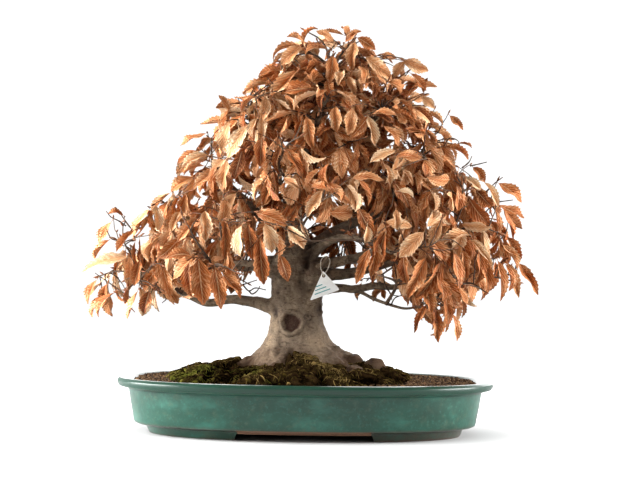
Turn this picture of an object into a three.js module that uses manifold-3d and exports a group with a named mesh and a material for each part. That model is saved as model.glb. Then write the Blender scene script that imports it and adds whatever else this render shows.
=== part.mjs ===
// Japanese beech bonsai in its winter leaf, planted in an oval glazed pot.
// Millimetres, +Z up. The front is -Y and the trunk stands a little to the left of the pot's centre.
import * as THREE from "three";
import { mergeVertices } from "three/addons/utils/BufferGeometryUtils.js";
import Module from "manifold-3d";

// Driving dimensions
const POT_LENGTH = 450;
const POT_WIDTH = 330;
const POT_HEIGHT = 65.4;
const POT_FOOT_HEIGHT = 7.6;
const POT_SIDES = 36;
const FOOT_GAP_HALF_WIDTH_TOP = 77;
const FOOT_GAP_HALF_WIDTH_BOTTOM = 80;
const DRAIN_X = 88;
const DRAIN_RADIUS = 13;
const DRAIN_SIDES = 16;
const FLOOR_TOP = 18;
const FLOOR_BOTTOM = 11;

// Room left between pieces that rest on each other, and the lengths that count as nothing
const SEAT_GAP = 0.3;
const SHORTEST_EDGE = 0.02;
const SAME_PLACE = 1e-4;

const MESH_SIDE = 38;
const MESH_THICKNESS = 1.2;
const MESH_HOLE = 7;
const MESH_PITCH = 10;
const CLIP_WIRE_RADIUS = 0.9;
const CLIP_SIDES = 5;
const CLIP_STEPS = 14;

const SOIL_EDGE_HEIGHT = 61;
const SOIL_RINGS = [180, 148, 116, 84, 0];
const SOIL_MOUND_RISE = 23;
const SOIL_MOUND_SPREAD = [120, 85];
const TRUNK_FOOT = [-8, 6];

const TRUNK_SIDES = 20;
const FLARE_TOP = 125;
const FLARE_FOOT = 80;
const ROOT_SIDES = 6;
const ROOT_STEPS = 4;
const BRANCH_SIDES = 6;
const BRANCH_STEPS = 6;

// Shoots start on a branch at one of these shares of its length, in twelfths
const FIRST_SHOOT_TWELFTH = 3;
const SHOOT_RADIUS = 2.6;
const SHOOT_LEAST = 6;
const SHOOT_REACH = 55;
const TWIG_LENGTH = 62;
const TWIG_RADIUS = 1.5;
const TWIG_END_RADIUS = 0.8;
const TWIG_STEPS = 2;
const TWIG_SIDES = 4;
// Moves of a twig's tip, back and up, that are tried in turn where it would meet other wood
const TIP_MOVES = [[0, 0], [0, 9], [0, -9], [10, 0], [-10, 0], [10, 12], [-10, 12], [18, -8], [-18, -8]];

const LEAF_LENGTH = 46;
const LEAF_WIDTH = 20;
const LEAF_THICKNESS = 0.9;
// Shares of a leaf's length or width: where it is widest, how far its sides fold up and its tip droops
const LEAF_WIDEST = 0.42;
const LEAF_FOLD = 0.2;
const LEAF_DROOP = 0.16;
const LEAVES_PER_TWIG = 8;
const FIRST_LEAF = 0.24;
const LAST_LEAF = 0.96;
const LEAF_SWING = [0.5, 1.1];
const LEAF_SIZES = [0.82, 1.12];
const MOST_TURNS = 16;
const LEAF_CLEARANCE = 0.5;

const TAG_CORNERS = [[19.2, 194.6], [39.6, 172.2], [4.2, 158.6]];
const TAG_FACE_Y = -40;
const TAG_THICKNESS = 0.8;
const TAG_HOLE = [20.2, 188.4];
const TAG_HOLE_RADIUS = 2.1;
const TIE_RADIUS = 0.6;
const TIE_SIDES = 5;
const TIE_STEPS = 20;

// Rings of the trunk from its buried root plate to where it divides:
// height, centre x, centre y, half width, half depth
const TRUNK_RINGS = [
  [42, -6, 6, 58, 46],
  [66, -5, 6, 70, 56],
  [84, -5, 6, 66, 52],
  [94, -7, 6, 54, 45],
  [106, -9.5, 6, 43, 38],
  [119, -10, 5, 36.5, 34],
  [136, -12, 5, 31.5, 30.5],
  [152, -12, 5, 31, 29],
  [172, -12, 5, 31.5, 28.5],
  [192, -13, 5, 30, 27],
  [210, -15, 5, 25, 23],
  [226, -18, 6, 15, 15],
];

// Roots that run out over the soil and dip into it: points along each, then its thick and thin radius
const SURFACE_ROOTS = [
  { points: [[28, -2, 92], [56, -6, 84], [84, -14, 74], [112, -24, 58]], radii: [16, 5] },
  { points: [[-34, -2, 92], [-66, -6, 81], [-94, -12, 72], [-120, -18, 58]], radii: [15, 5] },
  { points: [[-22, -20, 88], [-36, -46, 76], [-50, -72, 66], [-60, -94, 52]], radii: [14, 5] },
  { points: [[16, -22, 88], [34, -46, 76], [54, -70, 66], [70, -90, 52]], radii: [14, 5] },
  { points: [[-24, 26, 88], [-42, 52, 76], [-58, 78, 64], [-70, 98, 50]], radii: [14, 5] },
  { points: [[14, 28, 88], [34, 54, 76], [52, 80, 64], [66, 100, 50]], radii: [14, 5] },
];

// Branches that divide the crown: points along each, then its thick and thin radius
const BRANCHES = {
  low_left: {
    points: [
      [-26, 4, 143], [-46, 3, 151], [-66, 2, 156], [-91, 0, 158], [-119, -3, 154], [-140, -8, 161],
      [-162, -12, 172], [-188, -16, 180],
    ],
    radii: [9.5, 2],
  },
  upper_left: {
    points: [
      [-26, 8, 198], [-46, 10, 203], [-72, 13, 199], [-104, 18, 199], [-126, 24, 211], [-152, 28, 224],
      [-184, 30, 232],
    ],
    radii: [9, 2],
  },
  low_right: {
    points: [
      [4, -2, 166], [24, -6, 172], [42, -9, 174], [60, -11, 173], [80, -12, 177], [104, -10, 176],
      [140, -6, 184], [180, 2, 190],
    ],
    radii: [7, 1.8],
  },
  thin_right: {
    points: [
      [54, -11, 173], [66, -16, 169], [80, -22, 162], [103, -28, 154], [119, -30, 151], [136, -30, 155],
      [158, -28, 166],
    ],
    radii: [2.4, 1.2],
  },
  middle_right: {
    points: [
      [4, 6, 188], [24, 9, 190], [44, 12, 191], [64, 16, 194], [98, 24, 204], [136, 34, 217], [180, 42, 226],
    ],
    radii: [8.5, 2],
  },
  upper_right: {
    points: [
      [0, -4, 200], [20, -9, 204], [42, -14, 207], [66, -20, 213], [100, -32, 227], [136, -44, 238],
      [170, -52, 243],
    ],
    radii: [7.5, 2],
  },
  front_left: {
    points: [[-22, -8, 184], [-34, -30, 192], [-54, -58, 199], [-80, -88, 202], [-106, -114, 198]],
    radii: [7.5, 1.8],
  },
  front_right: {
    points: [[-2, -6, 206], [20, -28, 226], [42, -60, 234], [68, -92, 230], [96, -114, 216]],
    radii: [7, 1.8],
  },
  front_middle: {
    points: [[-12, -6, 208], [-14, -30, 226], [-12, -62, 240], [-6, -98, 246]],
    radii: [6.5, 1.8],
  },
  back_left: {
    points: [[-24, 14, 180], [-42, 36, 190], [-68, 66, 198], [-98, 96, 202], [-126, 116, 198]],
    radii: [8, 1.8],
  },
  back_right: {
    points: [[-2, 16, 186], [14, 38, 196], [40, 70, 204], [76, 100, 208], [112, 118, 202]],
    radii: [8, 1.8],
  },
  back_middle: {
    points: [[-14, 16, 202], [-16, 42, 220], [-12, 78, 234], [-4, 112, 238]],
    radii: [7, 1.8],
  },
  leader: {
    points: [
      [-18, 6, 206], [-20, 8, 236], [-18, 12, 268], [-8, 12, 310], [4, 8, 356], [16, 4, 398], [28, 0, 438],
    ],
    radii: [15, 2],
  },
  left_leader: {
    points: [[-22, 6, 212], [-40, 6, 238], [-64, 4, 266], [-90, 2, 292], [-116, 0, 318]],
    radii: [10, 2],
  },
  right_leader: {
    points: [
      [-8, 4, 210], [16, 0, 230], [46, -4, 248], [84, -8, 266], [104, -8, 292], [124, -6, 322],
      [142, -4, 346],
    ],
    radii: [10, 2],
  },
  high_front: {
    points: [[-20, 10, 252], [-26, -14, 276], [-32, -44, 298], [-36, -72, 314]],
    radii: [5.5, 1.6],
  },
  high_back: {
    points: [[-19, 10, 258], [-12, 36, 282], [-2, 66, 304], [8, 92, 318]],
    radii: [5.5, 1.6],
  },
  high_right: {
    points: [[-10, 12, 302], [18, 10, 330], [52, 8, 358], [90, 4, 386]],
    radii: [5.5, 1.6],
  },
  high_left: {
    points: [[-13, 12, 292], [-38, 12, 326], [-60, 8, 358], [-74, 4, 384]],
    radii: [5.5, 1.6],
  },
  top_front: {
    points: [[0, 9, 336], [6, -14, 360], [14, -36, 382], [22, -52, 398]],
    radii: [4, 1.5],
  },
  top_back: {
    points: [[3, 9, 350], [10, 28, 372], [20, 46, 392], [30, 58, 406]],
    radii: [4, 1.5],
  },
  tag_spur: {
    points: [[6, -14, 196], [15, -27, 200], [21, -37, 205], [24, -44, 210]],
    radii: [4, 2.4],
  },
};

// Tiers of leafy twigs: height, reach to the left, right and front or back, number, first angle in degrees
// and how far the leaves hang, from not at all to straight down
const TIER_UNEVENNESS = 12;
const CROWN_TIERS = [
  { height: 184, left: 251, right: 255, depth: 172, count: 10, turn: 0, hang: [0.5, 1.3] },
  { height: 232, left: 230, right: 236, depth: 166, count: 10, turn: 18, hang: [0.4, 1.2] },
  { height: 286, left: 160, right: 224, depth: 138, count: 8, turn: 8, hang: [0.3, 1.1] },
  { height: 338, left: 130, right: 168, depth: 108, count: 6, turn: 26, hang: [0.2, 1] },
  { height: 390, left: 82, right: 136, depth: 74, count: 4, turn: 40, hang: [0.1, 0.9] },
  { height: 434, left: 38, right: 94, depth: 40, count: 3, turn: 80, hang: [-0.1, 0.6] },
  { height: 478, left: 6, right: 58, depth: 0, count: 2, turn: 0, hang: [-0.2, 0.5] },
];

// Moss pads round the trunk: from and to angle in degrees, thickness
const MOSS_PADS = [
  { from: -172, to: -128, thickness: 10 },
  { from: -124, to: -62, thickness: 12 },
  { from: -58, to: -8, thickness: 12 },
  { from: -4, to: 50, thickness: 9 },
  { from: 54, to: 116, thickness: 10 },
  { from: 120, to: 184, thickness: 10 },
];
const MOSS_MIDDLE = [-20, 6];
const MOSS_REACH = [146, 116];
const MOSS_SEAT = 0.9;
const MOSS_EDGE = 1.5;

const wasm = await Module();
wasm.setup();
const { Manifold, Mesh } = wasm;

/** A closed geometry as a solid that can be joined and cut. */
function solidOf(geometry) {
  const bare = new THREE.BufferGeometry();
  bare.setAttribute("position", geometry.getAttribute("position"));
  if (geometry.index) bare.setIndex(geometry.index);
  const merged = mergeVertices(bare, SAME_PLACE);
  const corners = merged.index.array;
  const kept = [];
  for (let i = 0; i < corners.length; i += 3) {
    const [a, b, c] = [corners[i], corners[i + 1], corners[i + 2]];
    if (a !== b && b !== c && c !== a) kept.push(a, b, c);
  }
  return new Manifold(
    new Mesh({
      numProp: 3,
      vertProperties: new Float32Array(merged.getAttribute("position").array),
      triVerts: new Uint32Array(kept),
    }),
  );
}

/** A solid's surface as a geometry with flat shading. */
function geometryOf(solid) {
  const { numProp, numVert, vertProperties, triVerts } = solid.getMesh();
  const positions = new Float32Array(numVert * 3);
  for (let i = 0; i < numVert; i++) {
    positions.set(vertProperties.subarray(i * numProp, i * numProp + 3), i * 3);
  }
  const geometry = new THREE.BufferGeometry();
  geometry.setAttribute("position", new THREE.BufferAttribute(positions, 3));
  geometry.setIndex(new THREE.BufferAttribute(new Uint32Array(triVerts), 1));
  geometry.computeVertexNormals();
  return geometry;
}

/** The geometry with each vertex moved to where place puts it. */
function remap(geometry, place) {
  const position = geometry.getAttribute("position");
  const point = new THREE.Vector3();
  for (let i = 0; i < position.count; i++) {
    point.fromBufferAttribute(position, i);
    place(point);
    position.setXYZ(i, point.x, point.y, point.z);
  }
  return geometry;
}

/** Several solids made one. */
function joined(solids) {
  return solids.reduce((whole, piece) => whole.add(piece));
}

/** The biggest of a solid's separate bodies. */
function biggestBody(solid) {
  const bodies = solid.decompose();
  bodies.sort((a, b) => b.volume() - a.volume());
  return bodies[0];
}

const vector = ([x, y, z]) => new THREE.Vector3(x, y, z);
const mix = (a, b, t) => a + (b - a) * t;

/** A number from 0 to 1 that scatters well and is always the same for the same two seeds. */
function scatter(a, b) {
  const value = Math.sin(a * 127.1 + b * 311.7) * 43758.5453;
  return value - Math.floor(value);
}

/** A smooth curve with its frames worked out at evenly spaced places. */
function framedCurve(points, divisions = 24) {
  const curve = new THREE.CatmullRomCurve3(points.map((p) => (p.isVector3 ? p : vector(p))));
  const frames = curve.computeFrenetFrames(divisions, false);
  const axesAt = (u) => {
    const i = Math.min(divisions, Math.max(0, Math.round(u * divisions)));
    const tangent = curve.getTangentAt(Math.min(1, Math.max(0, u)));
    const normal = frames.normals[i].clone();
    normal.addScaledVector(tangent, -normal.dot(tangent)).normalize();
    return { tangent, normal, binormal: tangent.clone().cross(normal) };
  };
  return { curve, axesAt };
}

/** A closed rod of changing thickness along the stretch of a curve from start to end. */
function rod({ curve, axesAt }, start, end, radiusAt, sides, steps) {
  const geometry = new THREE.CylinderGeometry(1, 1, 1, sides, steps);
  return remap(geometry, (point) => {
    const along = point.y + 0.5;
    const u = mix(start, end, along);
    const { normal, binormal } = axesAt(u);
    const radius = radiusAt(along);
    const { x, z } = point;
    point.copy(curve.getPointAt(u));
    point.addScaledVector(binormal, x * radius);
    point.addScaledVector(normal, z * radius);
  });
}

/** A place on the straight stretches between a rod's rings, t of the way along it. */
function onRodAxis({ curve }, start, end, steps, t) {
  const ring = Math.min(steps - 1, Math.floor(t * steps));
  const from = curve.getPointAt(mix(start, end, ring / steps));
  const to = curve.getPointAt(mix(start, end, (ring + 1) / steps));
  return from.lerp(to, t * steps - ring);
}

/** Half width of the pot across, where its half length is r: the oval keeps the same inset all round. */
function halfAcross(r) {
  const difference = (POT_LENGTH - POT_WIDTH) / 2;
  return r > 2 * difference ? r - difference : r / 2;
}

/** A closed oval body from a profile of half length and height that starts and ends on the axis. */
function ovalTurning(profile, heightAt = null) {
  const outline = profile.map(([r, z]) => new THREE.Vector2(r, z));
  const geometry = new THREE.LatheGeometry(outline, POT_SIDES);
  return remap(geometry, (point) => {
    const { x, y, z } = point;
    const r = Math.hypot(x, z);
    const turn = Math.atan2(x, z);
    point.set(r * Math.cos(turn), halfAcross(r) * Math.sin(turn), y);
    if (heightAt && y > SOIL_EDGE_HEIGHT - 1) point.z = heightAt(point.x, point.y);
  });
}

/** The fired pot: two curved feet, a drum wall, a beaded band and a rounded lip in one piece. */
function makePot() {
  const half = POT_LENGTH / 2;
  const profile = [
    [0, FLOOR_BOTTOM],
    [half - 47, FLOOR_BOTTOM],
    [half - 45, 0],
    [half - 38, 0],
    [half - 34, FLOOR_BOTTOM - 0.6],
    [half - 26, FLOOR_BOTTOM + 0.6],
    [half - 20.5, 16],
    [half - 18.5, 22],
    [half - 13.4, 52.4],
    [half - 10, 54.2],
    [half - 10, 57.2],
    [half - 3, 58.2],
    [half, 61],
    [half - 2.2, POT_HEIGHT - 0.8],
    [half - 7, POT_HEIGHT],
    [half - 14, POT_HEIGHT - 1.4],
    [half - 17, 61],
    [half - 22.5, 36],
    [half - 28, 23],
    [half - 38, FLOOR_TOP],
    [0, FLOOR_TOP],
  ];
  let pot = solidOf(ovalTurning(profile));
  for (const x of [-DRAIN_X, DRAIN_X]) {
    const drill = new THREE.CylinderGeometry(DRAIN_RADIUS, DRAIN_RADIUS, FLOOR_TOP * 2, DRAIN_SIDES);
    drill.rotateX(Math.PI / 2).translate(x, 0, FLOOR_TOP);
    pot = pot.subtract(solidOf(drill));
  }
  const gap = new THREE.Shape([
    new THREE.Vector2(-FOOT_GAP_HALF_WIDTH_BOTTOM, -1),
    new THREE.Vector2(FOOT_GAP_HALF_WIDTH_BOTTOM, -1),
    new THREE.Vector2(FOOT_GAP_HALF_WIDTH_TOP, POT_FOOT_HEIGHT),
    new THREE.Vector2(-FOOT_GAP_HALF_WIDTH_TOP, POT_FOOT_HEIGHT),
  ]);
  const arch = new THREE.ExtrudeGeometry(gap, { depth: POT_WIDTH, bevelEnabled: false });
  arch.rotateX(Math.PI / 2).translate(0, POT_WIDTH / 2, 0);
  return pot.subtract(solidOf(arch));
}

/** The plastic mesh over a drainage hole. */
function makeDrainMesh(x) {
  const middle = FLOOR_TOP + SEAT_GAP + MESH_THICKNESS / 2;
  const plate = new THREE.BoxGeometry(MESH_SIDE, MESH_SIDE, MESH_THICKNESS);
  let mesh = solidOf(plate.translate(x, 0, middle));
  for (const row of [-1, 0, 1]) {
    for (const column of [-1, 0, 1]) {
      const punch = new THREE.BoxGeometry(MESH_HOLE, MESH_HOLE, MESH_THICKNESS * 3);
      mesh = mesh.subtract(solidOf(punch.translate(x + column * MESH_PITCH, row * MESH_PITCH, middle)));
    }
  }
  return mesh;
}

/** The bent wire that holds a mesh: over the mesh, down through the hole and out under the floor. */
function makeMeshClip(x, grow = 0) {
  const over = FLOOR_TOP + SEAT_GAP * 2 + MESH_THICKNESS + CLIP_WIRE_RADIUS;
  const under = FLOOR_BOTTOM - 2 * SEAT_GAP - CLIP_WIRE_RADIUS;
  const leg = MESH_PITCH;
  const toe = DRAIN_RADIUS + 5;
  const half = [
    [0, over],
    [leg - 2, over],
    [leg, over - 2],
    [leg, under + 2],
    [leg + 2, under],
    [toe, under],
  ];
  const onSide = (sign) => half.map(([a, z]) => [x + sign * a, 0, z]);
  const points = [...onSide(-1).slice(1).reverse(), ...onSide(1)];
  const wire = new THREE.CatmullRomCurve3(points.map(vector), false, "catmullrom", 0.1);
  const framed = { curve: wire, axesAt: (u) => wireAxes(wire, u) };
  return solidOf(rod(framed, 0, 1, () => CLIP_WIRE_RADIUS + grow, CLIP_SIDES, CLIP_STEPS));
}

/** Axes square to a curve that lies in a plane of constant y. */
function wireAxes(curve, u) {
  const tangent = curve.getTangentAt(u);
  const normal = new THREE.Vector3(0, 1, 0);
  return { tangent, normal, binormal: tangent.clone().cross(normal) };
}

/** Height of the soil at a place, a low mound round the foot of the trunk. */
function soilHeight(x, y) {
  const dx = (x - TRUNK_FOOT[0]) / SOIL_MOUND_SPREAD[0];
  const dy = (y - TRUNK_FOOT[1]) / SOIL_MOUND_SPREAD[1];
  return SOIL_EDGE_HEIGHT + SOIL_MOUND_RISE * Math.exp(-(dx * dx + dy * dy));
}

/** The room that a mesh and its clip take up in the soil. */
function drainRoom(x) {
  const side = MESH_SIDE + 2 * SEAT_GAP;
  const height = MESH_THICKNESS + 2 * SEAT_GAP;
  const block = new THREE.BoxGeometry(side, side, height * 2);
  return solidOf(block.translate(x, 0, FLOOR_TOP)).add(makeMeshClip(x, SEAT_GAP));
}

/** The soil, filling the pot to just under its rim and cut out round the roots and the drainage pieces. */
function makeSoil(woodInSoil) {
  const half = POT_LENGTH / 2 - SEAT_GAP;
  const wall = [
    [0, FLOOR_TOP + SEAT_GAP],
    [half - 38, FLOOR_TOP + SEAT_GAP],
    [half - 28, 23 + SEAT_GAP],
    [half - 22.5, 36 + SEAT_GAP],
    [half - 17.2, SOIL_EDGE_HEIGHT],
  ];
  const rings = SOIL_RINGS.map((r) => [r, SOIL_EDGE_HEIGHT]);
  let soil = solidOf(ovalTurning([...wall, ...rings], soilHeight));
  for (const room of [woodInSoil, drainRoom(-DRAIN_X), drainRoom(DRAIN_X)]) {
    soil = soil.subtract(room);
  }
  return biggestBody(soil);
}

/** A pad of moss that lies on the soil between two angles, its top a soft dome. */
function makeMossPad({ from, to, thickness }, order) {
  const geometry = new THREE.BoxGeometry(1, 1, 1, 4, 5, 1);
  return solidOf(
    remap(geometry, (point) => {
      const across = point.x + 0.5;
      const round = point.y + 0.5;
      const angle = THREE.MathUtils.degToRad(mix(from, to, round));
      const uneven = 1 + 0.1 * Math.sin(angle * 5 + order) + 0.06 * Math.sin(angle * 11 + order * 2);
      const reach = mix(0.3, uneven, across);
      const x = MOSS_MIDDLE[0] + MOSS_REACH[0] * reach * Math.cos(angle);
      const y = MOSS_MIDDLE[1] + MOSS_REACH[1] * reach * Math.sin(angle);
      const dome = Math.min(1, 3.4 * round * (1 - round)) * Math.sqrt(Math.max(0, 1 - across ** 3));
      const low = soilHeight(x, y) + MOSS_SEAT;
      point.set(x, y, point.z < 0 ? low : low + MOSS_EDGE + thickness * dome);
    }),
  );
}

/** The trunk above its buried root plate, with low lobes that run into the surface roots. */
function makeTrunk(grow) {
  const geometry = new THREE.CylinderGeometry(1, 1, 1, TRUNK_SIDES, TRUNK_RINGS.length - 1);
  return solidOf(
    remap(geometry, (point) => {
      const ring = TRUNK_RINGS[Math.round((point.y + 0.5) * (TRUNK_RINGS.length - 1))];
      const [height, cx, cy, halfWidth, halfDepth] = ring;
      const reach = Math.hypot(point.x, point.z);
      const turn = Math.atan2(-point.z, point.x);
      const flare = 1 - THREE.MathUtils.smoothstep(height, FLARE_FOOT, FLARE_TOP);
      const lobes = 1 + flare * 0.07 * Math.cos(6 * turn) + 0.02 * Math.cos(3 * turn + height / 30);
      const x = cx + reach * (halfWidth * lobes + grow) * Math.cos(turn);
      const y = cy + reach * (halfDepth * lobes + grow) * Math.sin(turn);
      point.set(x, y, height + (height === TRUNK_RINGS[0][0] ? -grow : 0));
    }),
  );
}

/** The roots that run out over the soil, each made thicker by grow. */
function makeSurfaceRoots(grow) {
  return SURFACE_ROOTS.map(({ points, radii }) => {
    const route = points.map(vector);
    const [before, last] = route.slice(-2);
    last.addScaledVector(last.clone().sub(before).normalize(), grow);
    const radiusAt = (t) => mix(radii[0], radii[1], Math.sqrt(t)) + grow;
    return solidOf(rod(framedCurve(route), 0, 1, radiusAt, ROOT_SIDES, ROOT_STEPS));
  });
}

/** Thickness of a branch that runs from a thick to a thin radius. */
const tapered = ([thick, thin]) => (t) => mix(thick, thin, t ** 0.8);

/** Where each leafy twig of the crown ends, worked out from the tiers. */
function twigTips() {
  const tips = [];
  CROWN_TIERS.forEach((tier, row) => {
    for (let k = 0; k < tier.count; k++) {
      const angle = THREE.MathUtils.degToRad(tier.turn + (360 * k) / tier.count);
      const side = Math.cos(angle) > 0 ? tier.right : tier.left;
      const lift = TIER_UNEVENNESS * Math.sin(angle * 3 + row * 2);
      const tip = new THREE.Vector3(side * Math.cos(angle), tier.depth * Math.sin(angle), tier.height + lift);
      const name = `leafy_twig_tier${row + 1}_${String(k + 1).padStart(2, "0")}`;
      tips.push({ tip, name, hang: tier.hang });
    }
  });
  return tips;
}

/** Sample points along every branch, where a side shoot may start. */
function shootPlaces(limbs) {
  const places = [];
  for (const [name, { framed, radii }] of Object.entries(limbs)) {
    if (name === "tag_spur") continue;
    for (let i = FIRST_SHOOT_TWELFTH; i <= 12; i++) {
      const t = i / 12;
      places.push({
        point: framed.curve.getPointAt(t),
        tangent: framed.curve.getTangentAt(t),
        radius: tapered(radii)(t),
        atEnd: i === 12,
      });
    }
  }
  return places;
}

/**
 * The route from the best place on the branches to a twig's tip, leaving its branch at a slant. The best
 * place is near, though not nearer than a shoot's reach, lies below the tip and doesn't send the shoot
 * along its own branch.
 */
function shootRoute(tip, places) {
  let best = null;
  for (const place of places) {
    const away = place.point.distanceTo(tip);
    const tooNear = Math.max(0, SHOOT_REACH - away);
    const drop = Math.max(0, place.point.z - tip.z + SHOOT_LEAST);
    const inLine = place.tangent.dot(tip.clone().sub(place.point).normalize());
    const alongside = place.atEnd ? 0 : Math.max(0, inLine - 0.8);
    const cost = 0.6 * away + tooNear + 2 * drop + 400 * alongside;
    if (!best || cost < best.cost) best = { ...place, cost, away };
  }
  const towards = tip.clone().sub(best.point);
  const bend = best.point.clone().addScaledVector(towards, 0.45);
  bend.addScaledVector(best.tangent, best.away * 0.12);
  bend.z += best.away * 0.1;
  return { framed: framedCurve([best.point, bend, tip], 12), radius: best.radius, length: best.away };
}

/** A leaf folded along its midrib, thin at its edges and pointed at both ends. */
function makeLeaf(base, along, face, length, width) {
  const side = along.clone().cross(face).normalize();
  const up = side.clone().cross(along).normalize();
  const geometry = new THREE.OctahedronGeometry(1);
  return solidOf(
    remap(geometry, (point) => {
      const across = Math.round(point.x);
      const end = Math.round(point.y);
      const above = Math.round(point.z);
      const place = end === 0 ? LEAF_WIDEST : (end + 1) / 2;
      point.copy(base);
      point.addScaledVector(along, place * length);
      point.addScaledVector(side, (across * width) / 2);
      point.addScaledVector(up, Math.abs(across) * width * LEAF_FOLD - LEAF_DROOP * length * place * place);
      point.addScaledVector(up, (above * LEAF_THICKNESS) / 2);
    }),
  );
}

/** True if a solid comes closer to any other one than the leaves' clearance. */
function tooClose(solid, others) {
  const box = solid.boundingBox();
  return others.some(({ piece, bounds }) => {
    for (let axis = 0; axis < 3; axis++) {
      if (box.min[axis] - LEAF_CLEARANCE > bounds.max[axis]) return false;
      if (box.max[axis] + LEAF_CLEARANCE < bounds.min[axis]) return false;
    }
    return solid.minGap(piece, LEAF_CLEARANCE) < LEAF_CLEARANCE * 0.9;
  });
}

const boxed = (piece) => ({ piece, bounds: piece.boundingBox() });

/** A shoot on a branch and the leafy twig at its end, its tip moved a little where it meets other wood. */
function placeTwig({ tip, name, hang }, places, obstacles) {
  for (const [dy, dz] of TIP_MOVES) {
    const moved = tip.clone().add(new THREE.Vector3(0, dy, dz));
    const { framed, radius, length } = shootRoute(moved, places);
    const start = Math.max((radius + SHOOT_LEAST) / length, 1 - TWIG_LENGTH / length);
    const stretch = (from, to, thick, thin) =>
      solidOf(rod(framed, from, to, (t) => mix(thick, thin, t), TWIG_SIDES, TWIG_STEPS));
    const shoot = stretch(0, start, Math.min(radius * 0.8, SHOOT_RADIUS), TWIG_RADIUS);
    const twig = stretch(start + SEAT_GAP / length, 1, TWIG_RADIUS, TWIG_END_RADIUS);
    if (!tooClose(twig, obstacles)) return { name, hang, framed, start, shoot, rod: twig };
  }
  throw new Error(`${name} meets other wood wherever its tip goes`);
}

/** True if a solid has an edge too short to hold its shape once it is written down. */
function hasTinyEdge(solid) {
  const { numProp, vertProperties, triVerts } = solid.getMesh();
  const corner = (i) => vertProperties.subarray(triVerts[i] * numProp, triVerts[i] * numProp + 3);
  for (let i = 0; i < triVerts.length; i++) {
    const a = corner(i);
    const b = corner(i % 3 === 2 ? i - 2 : i + 1);
    if (Math.hypot(a[0] - b[0], a[1] - b[1], a[2] - b[2]) < SHORTEST_EDGE) return true;
  }
  return false;
}

/** A twig with its leaves, set alternately along it, each in the first turn that is clear of all the rest. */
function addLeaves(twig, order, obstacles) {
  let leafy = twig.rod;
  const others = obstacles.filter(({ piece }) => piece !== twig.rod);
  const down = new THREE.Vector3(0, 0, -1);
  for (let i = 0; i < LEAVES_PER_TWIG; i++) {
    const u = mix(FIRST_LEAF, LAST_LEAF, i / (LEAVES_PER_TWIG - 1));
    const base = onRodAxis(twig.framed, twig.start, 1, TWIG_STEPS, u);
    const { tangent } = twig.framed.axesAt(mix(twig.start, 1, u));
    const sideways = tangent.clone().cross(down).normalize();
    for (let turn = 0; turn < MOST_TURNS; turn++) {
      const swing = (i % 2 ? 1 : -1) * mix(...LEAF_SWING, scatter(order, i + turn * 31));
      const hang = mix(...twig.hang, scatter(order + 7, i * 3 + turn * 17));
      const direction = tangent.clone().multiplyScalar(i === LEAVES_PER_TWIG - 1 ? 1.2 : 0.55);
      direction.addScaledVector(sideways, swing).addScaledVector(down, hang).normalize();
      const face = tangent.clone().multiplyScalar(0.5).addScaledVector(down, -1);
      const size = mix(...LEAF_SIZES, scatter(order + 3, i));
      const leaf = makeLeaf(base, direction, face, LEAF_LENGTH * size, LEAF_WIDTH * size);
      if (tooClose(leaf, others)) continue;
      const grown = leafy.add(leaf);
      if (hasTinyEdge(grown)) continue;
      leafy = grown;
      others.push(boxed(leaf));
      obstacles.push(boxed(leaf));
      break;
    }
  }
  return leafy;
}

/** The name tag, a thin triangle with a hole near its top corner. */
function makeTag() {
  const outline = new THREE.Shape(TAG_CORNERS.map(([x, z]) => new THREE.Vector2(x, z)));
  const rim = new THREE.EllipseCurve(...TAG_HOLE, TAG_HOLE_RADIUS, TAG_HOLE_RADIUS).getPoints(10);
  outline.holes.push(new THREE.Path(rim.slice(1)));
  const plate = new THREE.ExtrudeGeometry(outline, { depth: TAG_THICKNESS, bevelEnabled: false });
  return solidOf(plate.rotateX(Math.PI / 2).translate(0, TAG_FACE_Y + TAG_THICKNESS, 0));
}

/** The string that ties the tag on: a closed loop through its hole and round the short spur above. */
function makeTagTie() {
  const [hx, hz] = TAG_HOLE;
  const loop = new THREE.CatmullRomCurve3(
    [
      [hx, TAG_FACE_Y + 0.4, hz - 0.4],
      [hx - 1, TAG_FACE_Y - 1.9, hz + 2.2],
      [hx - 3.6, TAG_FACE_Y - 1.8, hz + 9],
      [hx - 3, TAG_FACE_Y - 0.6, hz + 19],
      [hx + 2, TAG_FACE_Y + 0.4, hz + 23.2],
      [hx + 7, TAG_FACE_Y + 1, hz + 19],
      [hx + 5, TAG_FACE_Y + 2.6, hz + 9],
      [hx + 1, TAG_FACE_Y + 2.7, hz + 2.2],
    ].map(vector),
    true,
  );
  const frames = loop.computeFrenetFrames(TIE_STEPS, true);
  const ring = new THREE.TorusGeometry(2, 1, TIE_SIDES, TIE_STEPS);
  return solidOf(
    remap(ring, (point) => {
      const turn = Math.atan2(point.y, point.x);
      const i = Math.round(((turn / (2 * Math.PI) + 1) % 1) * TIE_STEPS) % TIE_STEPS;
      const outwards = Math.hypot(point.x, point.y) - 2;
      const { z } = point;
      point.copy(loop.getPointAt(i / TIE_STEPS));
      point.addScaledVector(frames.normals[i], outwards * TIE_RADIUS);
      point.addScaledVector(frames.binormals[i], -z * TIE_RADIUS);
    }),
  );
}

const finishes = {
  glaze: { color: 0x3d7d68, roughness: 0.25, metalness: 0 },
  soil: { color: 0x6b4a32, roughness: 1, metalness: 0 },
  moss: { color: 0x5b5a1e, roughness: 1, metalness: 0 },
  bark: { color: 0x8a7d70, roughness: 0.85, metalness: 0 },
  leaf: { color: 0xb06a38, roughness: 0.75, metalness: 0 },
  tag: { color: 0xf1f1ec, roughness: 0.5, metalness: 0 },
  string: { color: 0xd9cfbf, roughness: 0.9, metalness: 0 },
  mesh: { color: 0x2a2a2a, roughness: 0.6, metalness: 0 },
  wire: { color: 0xb8b8ba, roughness: 0.35, metalness: 1 },
};

const bonsai = new THREE.Group();

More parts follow.
